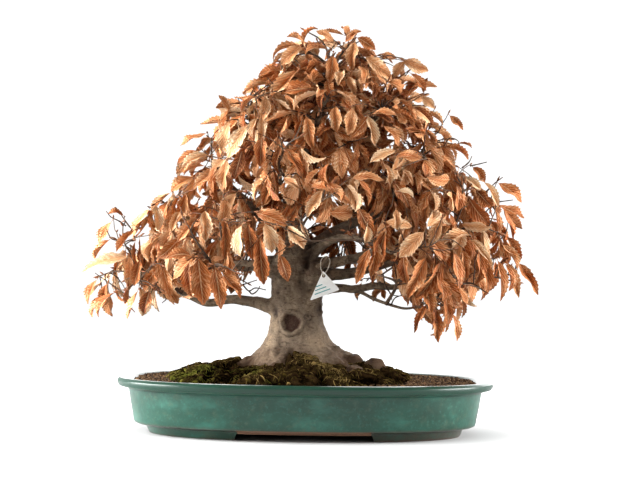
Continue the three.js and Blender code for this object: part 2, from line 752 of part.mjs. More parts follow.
function addPiece(name, solid, finish) {
  const piece = new THREE.Mesh(geometryOf(solid), new THREE.MeshStandardMaterial(finishes[finish]));
  piece.name = name;
  bonsai.add(piece);
}

// Wood: trunk, surface roots, branches and the shoots that carry the leafy twigs
const limbs = {};
for (const [name, { points, radii }] of Object.entries(BRANCHES)) {
  limbs[name] = { framed: framedCurve(points), radii };
}
const wood = [makeTrunk(0), ...makeSurfaceRoots(0)];
for (const { framed, radii } of Object.values(limbs)) {
  wood.push(solidOf(rod(framed, 0, 1, tapered(radii), BRANCH_SIDES, BRANCH_STEPS)));
}
const places = shootPlaces(limbs);
const obstacles = wood.map(boxed);
const twigs = twigTips().map((plan) => {
  const twig = placeTwig(plan, places, obstacles);
  wood.push(twig.shoot);
  obstacles.push(boxed(twig.shoot), boxed(twig.rod));
  return twig;
});
addPiece("trunk_and_branches", joined(wood), "bark");

// Leafy twigs
const tag = makeTag();
const tie = makeTagTie();
obstacles.push(boxed(tag), boxed(tie));
twigs.forEach((twig, i) => addPiece(twig.name, addLeaves(twig, i + 1, obstacles), "leaf"));

// Pot, drainage, soil and moss
addPiece("pot", makePot(), "glaze");
for (const [side, x] of [["left", -DRAIN_X], ["right", DRAIN_X]]) {
  addPiece(`drain_mesh_${side}`, makeDrainMesh(x), "mesh");
  addPiece(`mesh_clip_${side}`, makeMeshClip(x), "wire");
}
const woodInSoil = joined([makeTrunk(SEAT_GAP), ...makeSurfaceRoots(SEAT_GAP)]);
addPiece("soil", makeSoil(woodInSoil), "soil");
MOSS_PADS.forEach((pad, i) => {
  const cut = makeMossPad(pad, i).subtract(woodInSoil);
  addPiece(`moss_pad_${i + 1}`, biggestBody(cut), "moss");
});
addPiece("name_tag", tag, "tag");
addPiece("tag_tie", tie, "string");

// The origin is the middle of the bounding box, at the level that the pot stands on
const bounds = new THREE.Box3().setFromObject(bonsai);
const middle = bounds.getCenter(new THREE.Vector3());
bonsai.position.set(-middle.x, -middle.y, -bounds.min.z);

export default bonsai;
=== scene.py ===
"""Japanese beech bonsai in its winter leaf, in an oval glazed pot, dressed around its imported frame.

Shapes are worked out in millimetres from the middle of the plane that the pot stands on, with the front at
-Y, and put_down() turns them into metres of the frame. Each surface is a numpy grid or a profile carried
along a path.
"""

from __future__ import annotations

import logging
import math
from dataclasses import dataclass, field
from enum import Enum
from typing import ClassVar

import bpy
import numpy as np
from mathutils import Matrix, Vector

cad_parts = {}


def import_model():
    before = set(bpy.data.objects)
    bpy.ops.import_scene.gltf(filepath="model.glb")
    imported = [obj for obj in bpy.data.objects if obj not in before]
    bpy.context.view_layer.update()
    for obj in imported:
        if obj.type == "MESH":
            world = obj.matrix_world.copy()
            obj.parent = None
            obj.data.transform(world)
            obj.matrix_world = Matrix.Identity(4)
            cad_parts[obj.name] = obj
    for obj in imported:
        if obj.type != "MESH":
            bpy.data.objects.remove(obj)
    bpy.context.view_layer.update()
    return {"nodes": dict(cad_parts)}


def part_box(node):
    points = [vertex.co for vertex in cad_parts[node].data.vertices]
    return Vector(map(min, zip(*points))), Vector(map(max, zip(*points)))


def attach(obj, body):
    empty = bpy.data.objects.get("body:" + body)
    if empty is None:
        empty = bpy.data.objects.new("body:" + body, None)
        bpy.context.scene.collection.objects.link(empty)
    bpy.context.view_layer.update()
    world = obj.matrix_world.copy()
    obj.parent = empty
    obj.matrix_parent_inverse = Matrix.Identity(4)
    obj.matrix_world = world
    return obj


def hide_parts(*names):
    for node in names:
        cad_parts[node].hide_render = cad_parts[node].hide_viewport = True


Array = np.ndarray
log = logging.getLogger("bonsai")

IMAGE_SIZE = (625, 477)
SENSOR_WIDTH_MM = 36.0
BODY = "root"

Colour = tuple[int, int, int]
Place = tuple[float, float, float]
Socket = bpy.types.NodeSocket
Material = bpy.types.Material


# Numbers and curves


def mix(a: Array | float, b: Array | float, t: Array | float) -> Array | float:
    """The value t of the way from a to b."""
    return a + (b - a) * t


def unit(v: Array) -> Array:
    """The vectors of v, each made one long."""
    return v / np.maximum(np.linalg.norm(v, axis=-1, keepdims=True), 1e-9)


def ease(low: float, high: float, x: Array) -> Array:
    """0 below low, 1 above high and a smooth step between them."""
    t = np.clip((x - low) / (high - low), 0.0, 1.0)
    return t * t * (3.0 - 2.0 * t)


def hump(x: Array, middle: float, width: float) -> Array:
    """A bell of height 1: e to the power of minus the square of (x - middle) / width."""
    return np.exp(-(((x - middle) / width) ** 2))


def level(x: Array, y: Array) -> Array:
    """Places at height nought, for noises that don't change with height."""
    return np.stack([x, y, np.zeros_like(x)], -1)


def lattice(cell: Array, seed: int) -> Array:
    """A number from -1 to 1 for each whole cell, by mixing the bits of its three counts and the seed.

    Args:
        cell: whole numbers, shape (..., 3).
        seed: picks one of many patterns.

    Returns:
        Values of shape (...).
    """
    c = cell.astype(np.int64)
    h = c[..., 0] * 374761393 + c[..., 1] * 668265263 + c[..., 2] * 1274126177 + seed * 982451653
    h = (h ^ (h >> 13)) * 1103515245 & 0x7FFFFFFF
    h = (h ^ (h >> 16)) * 69069 & 0x7FFFFFFF
    return (h ^ (h >> 11)) / float(0x3FFFFFFF) - 1.0


def noise(points: Array, size: float | Array, seed: int = 0) -> Array:
    """Soft noise from -1 to 1: lattice values blended along three axes with a smooth step.

    Args:
        points: places, shape (..., 3).
        size: width of a cell, one number or one for each axis.
        seed: picks one of many patterns.

    Returns:
        Values of shape (...).
    """
    p = points / size
    low = np.floor(p)
    f = p - low
    f = f * f * (3.0 - 2.0 * f)
    total = np.zeros(points.shape[:-1])
    for corner in np.ndindex(2, 2, 2):
        step = np.array(corner)
        weight = np.prod(np.where(step == 1, f, 1.0 - f), axis=-1)
        total += weight * lattice(low + step, seed)
    return total


def layered_noise(points: Array, size: float, layers: int, seed: int = 0) -> Array:
    """Noise of several sizes added up, each half as wide and half as strong as the last."""
    return sum(noise(points, size / 2**k, seed + k) / 2**k for k in range(layers))


def smooth_path(points: Array, count: int, closed: bool = False) -> Array:
    """A centripetal Catmull-Rom curve through points, cut into equal lengths.

    Each stretch is a cubic whose end slopes come from the neighbouring points, weighted by the square root of
    their distances.

    Args:
        points: places to pass through, shape (n, d).
        count: places to return.
        closed: True joins the last point to the first.

    Returns:
        Places of shape (count, d).
    """
    p = np.asarray(points, float)
    if closed:
        p = np.vstack([p[-1:], p, p[:2]])
    else:
        p = np.vstack([2 * p[0] - p[1], p, 2 * p[-1] - p[-2]])
    a, b, c, d = p[:-3], p[1:-2], p[2:-1], p[3:]
    roots = [np.sqrt(np.linalg.norm(q - o, axis=1, keepdims=True)) for o, q in ((a, b), (b, c), (c, d))]
    g0, g1, g2 = (np.maximum(root, 1e-4) for root in roots)
    start = ((b - a) / g0 - (c - a) / (g0 + g1) + (c - b) / g1) * g1
    end = ((c - b) / g1 - (d - b) / (g1 + g2) + (d - c) / g2) * g1
    t = np.linspace(0, 1, 24, endpoint=False)[:, None, None]
    line = (2 * t**3 - 3 * t**2 + 1) * b + (t**3 - 2 * t**2 + t) * start
    line = line + (3 * t**2 - 2 * t**3) * c + (t**3 - t**2) * end
    line = np.vstack([line.transpose(1, 0, 2).reshape(-1, p.shape[1]), c[-1:]])
    return even_steps(line, count, closed)


def even_steps(line: Array, count: int, closed: bool = False) -> Array:
    """A polyline cut into equal lengths.

    Args:
        line: its points, shape (n, d); a closed one ends where it starts.
        count: places to return.
        closed: True leaves out the last place, which is also the first.

    Returns:
        Places of shape (count, d).
    """
    run = np.concatenate([[0], np.cumsum(np.linalg.norm(np.diff(line[:, :3], axis=0), axis=1))])
    at = np.linspace(0, run[-1], count, endpoint=not closed)
    return np.column_stack([np.interp(at, run, column) for column in line.T])


# Bare meshes


@dataclass
class Shell:
    """A mesh before it becomes an object: points, four-sided and three-sided faces, and numbers on them."""

    points: Array
    quads: Array
    tris: Array = field(default_factory=lambda: np.zeros((0, 3), int))
    at_points: dict[str, Array] = field(default_factory=dict)
    at_faces: dict[str, Array] = field(default_factory=dict)

    @staticmethod
    def joined(shells: list[Shell]) -> Shell:
        """Several shells in one, with the numbers that all of them have.

        Args:
            shells: the shells; the first one's numbers name those that are kept.

        Returns:
            One shell of them all, with the numbers on points that the first one has.
        """
        starts = np.cumsum([0] + [len(s.points) for s in shells[:-1]])
        quads = np.vstack([s.quads + n for s, n in zip(shells, starts)])
        tris = np.vstack([s.tris + n for s, n in zip(shells, starts)])
        at_points = {k: np.concatenate([s.at_points[k] for s in shells]) for k in shells[0].at_points}
        return Shell(np.vstack([s.points for s in shells]), quads, tris, at_points)


def grid_quads(rows: int, columns: int, around: bool, looped: bool = False) -> Array:
    """Faces of a grid of points counted row by row.

    Args:
        rows: rows of the grid.
        columns: points in each row.
        around: True also joins each row's last point to its first.
        looped: True also joins the last row to the first.

    Returns:
        Four point numbers for each face.
    """
    starts = np.arange(rows if looped else rows - 1)
    r, c = np.meshgrid(starts, np.arange(columns if around else columns - 1), indexing="ij")
    right, here, there = (c + 1) % columns, r * columns, (r + 1) % rows * columns
    return np.stack([here + c, here + right, there + right, there + c], axis=-1).reshape(-1, 4)


def fans(rows: int, sides: int) -> Array:
    """Triangles from the two poles that follow a grid's points to its first and its last ring.

    Args:
        rows: rings of the grid.
        sides: points in each ring.

    Returns:
        Three point numbers for each triangle.
    """
    k = np.arange(sides)
    after, last = (k + 1) % sides, (rows - 1) * sides
    low, high = np.full(sides, rows * sides), np.full(sides, rows * sides + 1)
    return np.vstack([np.stack([low, after, k], -1), np.stack([high, last + k, last + after], -1)])


def turned(rings: Array, low: Array, high: Array) -> Shell:
    """A closed body of rings that run up it, with a fan of triangles to a pole at each end.

    Args:
        rings: points of the rings, shape (rows, sides, 3).
        low: the pole of the first ring.
        high: the pole of the last ring.

    Returns:
        The body.
    """
    rows, sides, _ = rings.shape
    points = np.vstack([rings.reshape(-1, 3), low, high])
    return Shell(points, grid_quads(rows, sides, True), fans(rows, sides))


def tubes(paths: Array, radii: Array, sides: int) -> Shell:
    """Closed tapering rods: a circle carried along each path, square to it, closed by a cap at each end.

    The circle's axes come from the direction in which the path bends least, so that it never twists. The
    caps' poles stand 0.3 and 0.6 of the radius off the ends.

    Args:
        paths: points along each rod, shape (m, n, 3).
        radii: thickness at each point, shape (m, n), or (m, n, sides) for a section that isn't round.
        sides: corners of the section.

    Returns:
        All the rods in one shell.
    """
    m, n, _ = paths.shape
    slope = unit(np.gradient(paths, axis=1))
    middle = paths - paths.mean(axis=1, keepdims=True)
    middle = middle + 1e-5 * np.sin(np.arange(n * 3).reshape(1, n, 3) * 1.7)
    least = np.linalg.svd(middle, full_matrices=False)[2][:, 2, :][:, None, :]
    across = unit(np.cross(least, slope))
    up = np.cross(slope, across)
    angle = np.arange(sides) * (math.tau / sides) * np.ones((1, 1, 1))
    reach = radii[:, :, None] if radii.ndim == 2 else radii
    ring = np.cos(angle)[..., None] * across[:, :, None, :] + np.sin(angle)[..., None] * up[:, :, None, :]
    body = paths[:, :, None, :] + ring * reach[..., None]
    thick = reach.mean(axis=-1)[..., None]
    behind, beyond = slope[:, 0] * thick[:, 0] * 0.3, slope[:, -1] * thick[:, -1] * 0.6
    poles = np.stack([paths[:, 0] - behind, paths[:, -1] + beyond], 1)
    points = np.concatenate([body.reshape(m, -1, 3), poles], axis=1)
    return copies(points, grid_quads(n, sides, True), fans(n, sides))


def copies(points: Array, quads: Array, tris: Array) -> Shell:
    """One shell of alike bodies.

    Args:
        points: shape (m, k, 3), a row for each body.
        quads: the four-sided faces of one body.
        tris: its three-sided faces.

    Returns:
        All the bodies.
    """
    base = (np.arange(len(points)) * points.shape[1])[:, None, None]
    return Shell(points.reshape(-1, 3), (quads + base).reshape(-1, 4), (tris + base).reshape(-1, 3))


def spread(shell: Shell, name: str, values: Array) -> None:
    """Gives each of the equal parts of a shell's points one number of its own.

    Args:
        shell: a shell of several alike pieces.
        name: the number's name, as materials read it.
        values: one for each piece.
    """
    shell.at_points[name] = np.repeat(values, len(shell.points) // len(values))


def slab(top: Array, bottom: Array) -> Shell:
    """A closed thick sheet from two grids of points of the same size, walled round its edge.

    Args:
        top: outer grid, shape (rows, columns, 3), seen from outside with rows to the right of columns.
        bottom: inner grid of the same shape.

    Returns:
        The sheet.
    """
    rows, columns, _ = top.shape
    upper = grid_quads(rows, columns, False)
    n = rows * columns
    lower = upper[:, ::-1] + n
    index = np.arange(n).reshape(rows, columns)
    edge = np.concatenate([index[0, :-1], index[:-1, -1], index[-1, :0:-1], index[:0:-1, 0]])
    after = np.roll(edge, -1)
    wall = np.stack([edge, edge + n, after + n, after], axis=-1)
    return Shell(np.vstack([top.reshape(-1, 3), bottom.reshape(-1, 3)]), np.vstack([upper, lower, wall]))


def blobs(centres: Array, radii: Array, seed: int) -> Shell:
    """Small uneven lumps: a sphere of three rings and two poles, each point pushed in or out at random.

    Args:
        centres: shape (m, 3).
        radii: half sizes along three axes, shape (m, 3).
        seed: picks the pushes.

    Returns:
        All the lumps in one shell.
    """
    m, sides, rings = len(centres), 6, 3
    draw = np.random.default_rng(seed)
    tilt = np.linspace(0, math.pi, rings + 2)[1:-1, None]
    turn = np.arange(sides) * (math.tau / sides)
    girth = np.sin(tilt)
    ball = np.stack([girth * np.cos(turn), girth * np.sin(turn), np.cos(tilt) * np.ones(sides)], -1)
    sphere = np.vstack([ball.reshape(-1, 3), [[0, 0, 1], [0, 0, -1]]])
    push = draw.uniform(0.72, 1.15, (m, len(sphere), 1))
    third = unit(draw.normal(size=(m, 3)))
    first = unit(np.cross(third, unit(draw.normal(size=(m, 3)))))
    axes = np.stack([first, np.cross(third, first), third], axis=1)
    points = centres[:, None] + np.einsum("mki,mij->mkj", sphere[None] * push * radii[:, None, :], axes)
    return copies(points, grid_quads(rings, sides, True)[:, ::-1], fans(rings, sides)[:, [0, 2, 1]])


# Objects


@dataclass
class Ground:
    """Where the pot's middle lies in the frame, in millimetres."""

    shift: Array

    @classmethod
    def from_frame(cls) -> Ground:
        """Read from the box of the pot's node."""
        low, high = (np.array(corner) * 1000 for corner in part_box("pot"))
        return cls(np.array([(low[0] + high[0]) / 2, (low[1] + high[1]) / 2, low[2]]))


GROUND = Ground(np.zeros(3))


def to_metres(points: Array) -> Array:
    """Places in millimetres from the pot's middle as metres of the frame."""
    return (points + GROUND.shift) / 1000.0


def note(mesh: bpy.types.Mesh, domain: str, numbers: dict[str, Array]) -> None:
    """Stores numbers on a mesh, where materials read them.

    Args:
        mesh: the mesh.
        domain: POINT or FACE.
        numbers: the values of every point or face by name.
    """
    for key, values in numbers.items():
        mesh.attributes.new(key, "FLOAT", domain).data.foreach_set("value", values.astype(np.float32))


def link(name: str, data: bpy.types.ID) -> bpy.types.Object:
    """Adds an object of a mesh, camera or light to the scene."""
    made = bpy.data.objects.new(name, data)
    bpy.context.scene.collection.objects.link(made)
    return made


def put_down(name: str, shell: Shell, smooth: bool = True) -> bpy.types.Object:
    """Makes an object of a shell, with its place in its mesh.

    Args:
        name: the piece's name.
        shell: points in millimetres, with the numbers that materials read.
        smooth: True shades the faces smoothly.

    Returns:
        The object, linked to the scene.
    """
    mesh = bpy.data.meshes.new(name)
    mesh.vertices.add(len(shell.points))
    mesh.vertices.foreach_set("co", to_metres(shell.points).astype(np.float32).ravel())
    corners = np.concatenate([shell.quads.ravel(), shell.tris.ravel()])
    sizes = np.concatenate([np.full(len(shell.quads), 4), np.full(len(shell.tris), 3)])
    mesh.loops.add(len(corners))
    mesh.loops.foreach_set("vertex_index", corners.astype(np.int32))
    mesh.polygons.add(len(sizes))
    mesh.polygons.foreach_set("loop_start", (np.cumsum(sizes) - sizes).astype(np.int32))
    mesh.polygons.foreach_set("use_smooth", np.full(len(sizes), smooth))
    note(mesh, "POINT", shell.at_points)
    note(mesh, "FACE", shell.at_faces)
    mesh.update(calc_edges=True)
    mesh.validate()
    log.info("%s: %d faces", name, len(sizes))
    return link(name, mesh)


def fetched(items: bpy.types.bpy_prop_collection, key: str) -> Array:
    """A value of three parts from each of a mesh's points or faces.

    Args:
        items: the points or faces.
        key: the value's name.

    Returns:
        Values of shape (n, 3).
    """
    values = np.empty(len(items) * 3, np.float32)
    items.foreach_get(key, values)
    return values.reshape(-1, 3).astype(float)


def read_mesh(mesh: bpy.types.Mesh) -> tuple[Array, Array]:
    """A mesh's points in millimetres from the pot's middle, and its normals."""
    return fetched(mesh.vertices, "co") * 1000 - GROUND.shift, fetched(mesh.vertex_normals, "vector")


def face_places(mesh: bpy.types.Mesh) -> tuple[Array, Array]:
    """The middles of a mesh's faces in millimetres from the pot's middle, and the faces' normals."""
    return fetched(mesh.polygons, "center") * 1000 - GROUND.shift, fetched(mesh.polygons, "normal")


def settle_modifiers(piece: bpy.types.Object) -> None:
    """Applies an object's modifiers to its mesh and shades it smoothly.

    Args:
        piece: the object, which gets a new mesh.
    """
    mesh = bpy.data.meshes.new_from_object(piece.evaluated_get(bpy.context.evaluated_depsgraph_get()))
    piece.modifiers.clear()
    piece.data = mesh
    mesh.polygons.foreach_set("use_smooth", np.ones(len(mesh.polygons), bool))
    log.info("%s: %d faces after its modifiers", piece.name, len(mesh.polygons))


def finish_piece(
    piece: bpy.types.Object, material: bpy.types.Material, nodes: tuple[str, ...] = ()
) -> bpy.types.Object:
    """Dresses a piece, ties it to the tree's body and says which nodes it stands for.

    Args:
        piece: the object.
        material: its material.
        nodes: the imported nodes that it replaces.

    Returns:
        The same object.
    """
    piece.data.materials.clear()
    piece.data.materials.append(material)
    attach(piece, BODY)
    if nodes:
        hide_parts(*nodes)
    return piece


# Materials


class Board:
    """A node tree with short ways to add and join nodes.

    Everywhere below, a value is a socket or a constant, and a colour is a socket or a screen colour.
    """

    def __init__(self, tree: bpy.types.NodeTree) -> None:
        """Works on a node tree."""
        self.tree = tree

    def add(self, kind: str, **settings: object) -> bpy.types.Node:
        """Adds a node.

        Args:
            kind: the node's type.
            settings: its properties by name.

        Returns:
            The node.
        """
        node = self.tree.nodes.new(kind)
        for key, value in settings.items():
            setattr(node, key, value)
        return node

    def feed(self, node: bpy.types.Node, key: str | int, value: object) -> None:
        """Joins a socket to an input, or sets the input to a constant.

        Args:
            node: the node that has the input.
            key: the input's name or number.
            value: a socket or a constant.
        """
        if isinstance(value, Socket):
            self.tree.links.new(value, node.inputs[key])
        else:
            node.inputs[key].default_value = value

    def place(self, stretch: Place = (1, 1, 1)) -> Socket:
        """Object coordinates in metres.

        Args:
            stretch: what they are multiplied by along each axis.

        Returns:
            The coordinates.
        """
        spot = self.add("ShaderNodeTexCoord").outputs["Object"]
        if stretch == (1, 1, 1):
            return spot
        node = self.add("ShaderNodeMapping")
        self.feed(node, "Vector", spot)
        self.feed(node, "Scale", stretch)
        return node.outputs["Vector"]

    def number(self, name: str) -> Socket:
        """A number stored on the mesh."""
        return self.add("ShaderNodeAttribute", attribute_name=name).outputs["Fac"]

    def noise(
        self, scale: float, detail: float, rough: float = 0.55, stretch: Place = (1, 1, 1), warp: float = 0
    ) -> Socket:
        """Noise from 0 to 1.

        Args:
            scale: cells to the metre.
            detail: layers of finer noise.
            rough: strength of each layer as a share of the last.
            stretch: what the coordinates are multiplied by.
            warp: how far the noise is dragged about.

        Returns:
            The noise.
        """
        node = self.add("ShaderNodeTexNoise")
        self.feed(node, "Vector", self.place(stretch))
        for key, value in (("Scale", scale), ("Detail", detail), ("Roughness", rough), ("Distortion", warp)):
            self.feed(node, key, value)
        return node.outputs["Fac"]

    def cells(self, scale: float, stretch: Place = (1, 1, 1)) -> Socket:
        """Distance from the middle of the nearest of many scattered cells.

        Args:
            scale: cells to the metre.
            stretch: what the coordinates are multiplied by.

        Returns:
            The distance, in cells.
        """
        node = self.add("ShaderNodeTexVoronoi")
        self.feed(node, "Vector", self.place(stretch))
        self.feed(node, "Scale", scale)
        return node.outputs["Distance"]

    def maths(self, operation: str, *values: object, clamp: bool = False) -> Socket:
        """The result of a Math node.

        Args:
            operation: its operation.
            values: what it works on.
            clamp: True holds the result between 0 and 1.

        Returns:
            The result.
        """
        node = self.add("ShaderNodeMath", operation=operation, use_clamp=clamp)
        for i, value in enumerate(values):
            self.feed(node, i, value)
        return node.outputs[0]

    def times(self, a: object, b: object, clamp: bool = False) -> Socket:
        """The product of two values."""
        return self.maths("MULTIPLY", a, b, clamp=clamp)

    def swayed(self, value: object, by: object, middle: float, share: float) -> Socket:
        """A value plus a share of what another lies over its middle: value + share (by - middle)."""
        return self.maths("ADD", value, self.times(self.maths("SUBTRACT", by, middle), share))

    def span(self, value: object, low: float, high: float, to: tuple[float, float] = (0, 1)) -> Socket:
        """A value mapped from one span to another, and held inside it.

        Args:
            value: the value.
            low: what becomes the first end of the new span.
            high: what becomes its second end.
            to: the new span.

        Returns:
            The mapped value.
        """
        node = self.add("ShaderNodeMapRange", clamp=True)
        keys = ("Value", "From Min", "From Max", "To Min", "To Max")
        for key, number in zip(keys, (value, low, high, *to)):
            self.feed(node, key, number)
        return node.outputs["Result"]

    def blend(self, share: object, a: object, b: object) -> Socket:
        """Two colours mixed.

        Args:
            share: the share of the second.
            a: the first colour.
            b: the second colour.

        Returns:
            The mixture.
        """
        node = self.add("ShaderNodeMix", data_type="RGBA", clamp_factor=True)
        self.feed(node, 0, share)
        for key, colour in ((6, a), (7, b)):
            self.feed(node, key, paint(colour) if isinstance(colour, tuple) else colour)
        return node.outputs[2]

    def ramp(self, value: object, *stops: tuple[float, Colour]) -> Socket:
        """A colour read off a row of stops.

        Args:
            value: where it is read.
            stops: places on the row and the screen colours there.

        Returns:
            The colour.
        """
        node = self.add("ShaderNodeValToRGB")
        elements = node.color_ramp.elements
        while len(elements) < len(stops):
            elements.new(0.5)
        for element, (place, colour) in zip(elements, stops):
            element.position = place
            element.color = paint(colour)
        self.feed(node, "Fac", value)
        return node.outputs["Color"]


class Coat(Board):
    """The board of a new material with a Principled surface."""

    def __init__(self, name: str) -> None:
        """Starts the material of that name."""
        self.material = bpy.data.materials.new(name)
        self.material.use_nodes = True
        super().__init__(self.material.node_tree)
        self.surface = self.tree.nodes["Principled BSDF"]

    def bump(self, height: object, distance: float, strength: float = 1.0, under: object = None) -> Socket:
        """A normal pushed about by a height.

        Args:
            height: the height, in parts of distance.
            distance: what a height of 1 stands for, in metres.
            strength: the share of the push that is used.
            under: another bump that this one lies on.

        Returns:
            The normal.
        """
        node = self.add("ShaderNodeBump")
        for key, value in (("Height", height), ("Distance", distance), ("Strength", strength)):
            self.feed(node, key, value)
        if under is not None:
            self.feed(node, "Normal", under)
        return node.outputs["Normal"]

    def dress(self, colour: object, roughness: object, normal: object = None, **fixed: object) -> Material:
        """Sets the Principled surface.

        Args:
            colour: its colour.
            roughness: its roughness.
            normal: its normal, if it has a bump.
            fixed: further inputs, named with low dashes for spaces.

        Returns:
            The material.
        """
        self.feed(self.surface, "Base Color", colour)
        self.feed(self.surface, "Roughness", roughness)
        if normal is not None:
            self.feed(self.surface, "Normal", normal)
        for key, value in fixed.items():
            self.feed(self.surface, key.replace("_", " "), value)
        return self.material


def paint(colour: Colour) -> tuple[float, ...]:
    """A screen colour as a socket's four linear values.

    Each value c is c / 12.92 where it is dark, and elsewhere (c + 0.055) / 1.055 to the power 2.4.

    Args:
        colour: red, green and blue from 0 to 255.

    Returns:
        The linear values, and 1.
    """
    values = [c / 255 for c in colour]
    return (*(c / 12.92 if c <= 0.04045 else ((c + 0.055) / 1.055) ** 2.4 for c in values), 1.0)


class Finish(Enum):
    """The finishes of the tree, its pot and its planting."""

    BARK = "bark"
    TWIG = "twig"
    LEAF = "leaf"
    GLAZE = "glaze"
    SOIL = "soil"
    GRAIN = "grain"
    MOSS = "moss"
    TAG = "tag"
    TAG_INK = "tag_ink"
    STRING = "string"
    MESH = "mesh"
    WIRE = "wire"


@dataclass(frozen=True)
class Bark:
    """Smooth grey beech bark: fine wrinkles, paler patches, dark scars, a stained foot and painted shade
    higher up.
    """

    pale: Colour = (158, 137, 112)
    middle: Colour = (131, 113, 93)
    grey: Colour = (104, 89, 74)
    # brown is also the colour that the painted shade darkens towards
    brown: Colour = (60, 45, 33)
    wound: Colour = (68, 43, 33)
    scar: Colour = (46, 34, 27)
    stain: Colour = (74, 54, 36)

    def make(self) -> Material:
        """The material; it reads scar, heart, tinge and height from the mesh; height sets its painted shade.
        """
        b = Coat("beech_bark")
        patches = b.noise(38, 6, 0.68, (1, 1, 0.8), 0.3)
        base = b.ramp(patches, (0.36, self.grey), (0.5, self.middle), (0.64, self.pale))
        streaks = b.span(b.noise(85, 6, 0.72, (1, 1, 0.42), 1.2), 0.5, 0.68, (0, 0.5))
        base = b.blend(streaks, base, self.brown)
        wrinkle = b.noise(150, 7, 0.72, (0.7, 0.7, 1.7), 1.6)
        base = b.blend(b.span(wrinkle, 0.49, 0.36, (0, 0.75)), base, self.brown)
        # painted shade: the bark darkens to brown higher up the trunk, where the crown's shade falls, in
        # uneven patches
        shade_patches = b.span(b.noise(60, 5, 0.7), 0.38, 0.6)
        shade = b.times(b.span(b.number("height"), 140, 200, (0.06, 0.78)), shade_patches)
        base = b.blend(shade, base, self.brown)
        specks = b.span(b.cells(260, (0.8, 0.8, 1.6)), 0.2, 0.08, (0, 0.75))
        base = b.blend(specks, base, self.scar)
        tinge = b.times(b.number("tinge"), b.span(b.noise(90, 4), 0.35, 0.6, (0.35, 1)))
        base = b.blend(tinge, base, self.stain)
        dark = b.times(b.number("scar"), b.span(b.noise(420, 4, 0.7), 0.2, 0.6, (0.75, 1)), clamp=True)
        base = b.blend(dark, base, self.scar)
        heart = b.times(b.number("heart"), b.span(b.noise(500, 4, 0.7), 0.25, 0.6, (0.6, 1)))
        base = b.blend(heart, base, self.wound)
        height = b.maths("ADD", wrinkle, b.times(b.noise(420, 5, 0.75), 0.6))
        roughness = b.span(patches, 0.3, 0.7, (0.6, 0.8))
        return b.dress(base, roughness, b.bump(height, 0.003), Specular_IOR_Level=0.2)


@dataclass(frozen=True)
class TwigBark:
    """Dark, slightly shiny bark of shoots and twigs, with pale dots."""

    dark: Colour = (44, 31, 22)
    light: Colour = (92, 70, 52)
    dot: Colour = (128, 108, 88)
    bud: Colour = (112, 64, 32)

    def make(self) -> Material:
        """The material; it reads bud from the mesh."""
        b = Coat("twig_bark")
        base = b.blend(b.span(b.noise(160, 4, 0.6), 0.35, 0.7), self.dark, self.light)
        base = b.blend(b.span(b.cells(900), 0.16, 0.06, (0, 0.4)), base, self.dot)
        bud = b.times(b.number("bud"), b.span(b.noise(1500, 3, 0.6), 0.3, 0.7, (0.6, 1)))
        base = b.blend(bud, base, self.bud)
        return b.dress(base, 0.7, b.bump(b.noise(700, 4), 0.0004, 0.6), Specular_IOR_Level=0.2)


@dataclass(frozen=True)
class DryLeaf:
    """A dead leaf: copper to tan, with slanted side veins, a pale midrib, brown blotches and a paler back."""

    rust: Colour = (108, 48, 14)
    copper: Colour = (180, 101, 47)
    tan: Colour = (214, 156, 106)
    cream: Colour = (240, 212, 174)
    vein: Colour = (234, 194, 146)
    veins: float = 8.0
    slant: float = 0.28
    glow: float = 0.22

    def make(self) -> Material:
        """The material; it reads along, across, tone and under from the mesh.

        The side veins lie where veins (along - slant across) is a whole number; painted shade darkens between
        them.
        """
        b = Coat("dry_beech_leaf")
        across = b.number("across")
        mottle, fine = b.noise(70, 4, 0.62), b.noise(420, 4, 0.65)
        shade = b.swayed(b.number("tone"), mottle, 0.5, 0.4)
        shade = b.swayed(b.swayed(shade, fine, 0.5, 0.16), across, 0.45, 0.3)
        front = b.ramp(shade, (0.08, self.rust), (0.4, self.copper), (0.68, self.tan), (0.95, self.cream))
        back = b.ramp(shade, (0.05, self.copper), (0.45, self.tan), (0.8, self.cream))
        base = b.blend(b.times(b.number("under"), 0.75), front, back)
        run = b.times(b.maths("SUBTRACT", b.number("along"), b.times(across, self.slant)), self.veins)
        saw = b.maths("ABSOLUTE", b.maths("SUBTRACT", b.maths("FRACT", run), 0.5))
        ridge = b.span(saw, 0.0, 0.5, (1, 0))
        line = b.times(b.span(ridge, 0.8, 1.0, (0, 0.42)), b.span(across, 1.0, 0.75))
        midrib = b.span(across, 0.09, 0.03, (0, 0.6))
        base = b.blend(b.maths("MAXIMUM", line, midrib), base, self.vein)
        # painted shade: the colour darkens towards rust in the pleats' hollows between the pale veins
        base = b.blend(b.span(ridge, 0.45, 0.0, (0, 0.36)), base, self.rust)
        pleat = b.times(ridge, b.span(across, 0.0, 0.25, (0.25, 1)))
        normal = b.bump(b.maths("ADD", pleat, b.times(fine, 0.15)), 0.001, 0.8)
        b.dress(base, b.span(mottle, 0.3, 0.7, (0.45, 0.62)), normal, Specular_IOR_Level=0.22)
        through, both = b.add("ShaderNodeBsdfTranslucent"), b.add("ShaderNodeMixShader")
        b.feed(through, "Color", base)
        b.feed(through, "Normal", normal)
        for key, value in enumerate((self.glow, b.surface.outputs[0], through.outputs[0])):
            b.feed(both, key, value)
        b.feed(b.tree.nodes["Material Output"], "Surface", both.outputs[0])
        return b.material


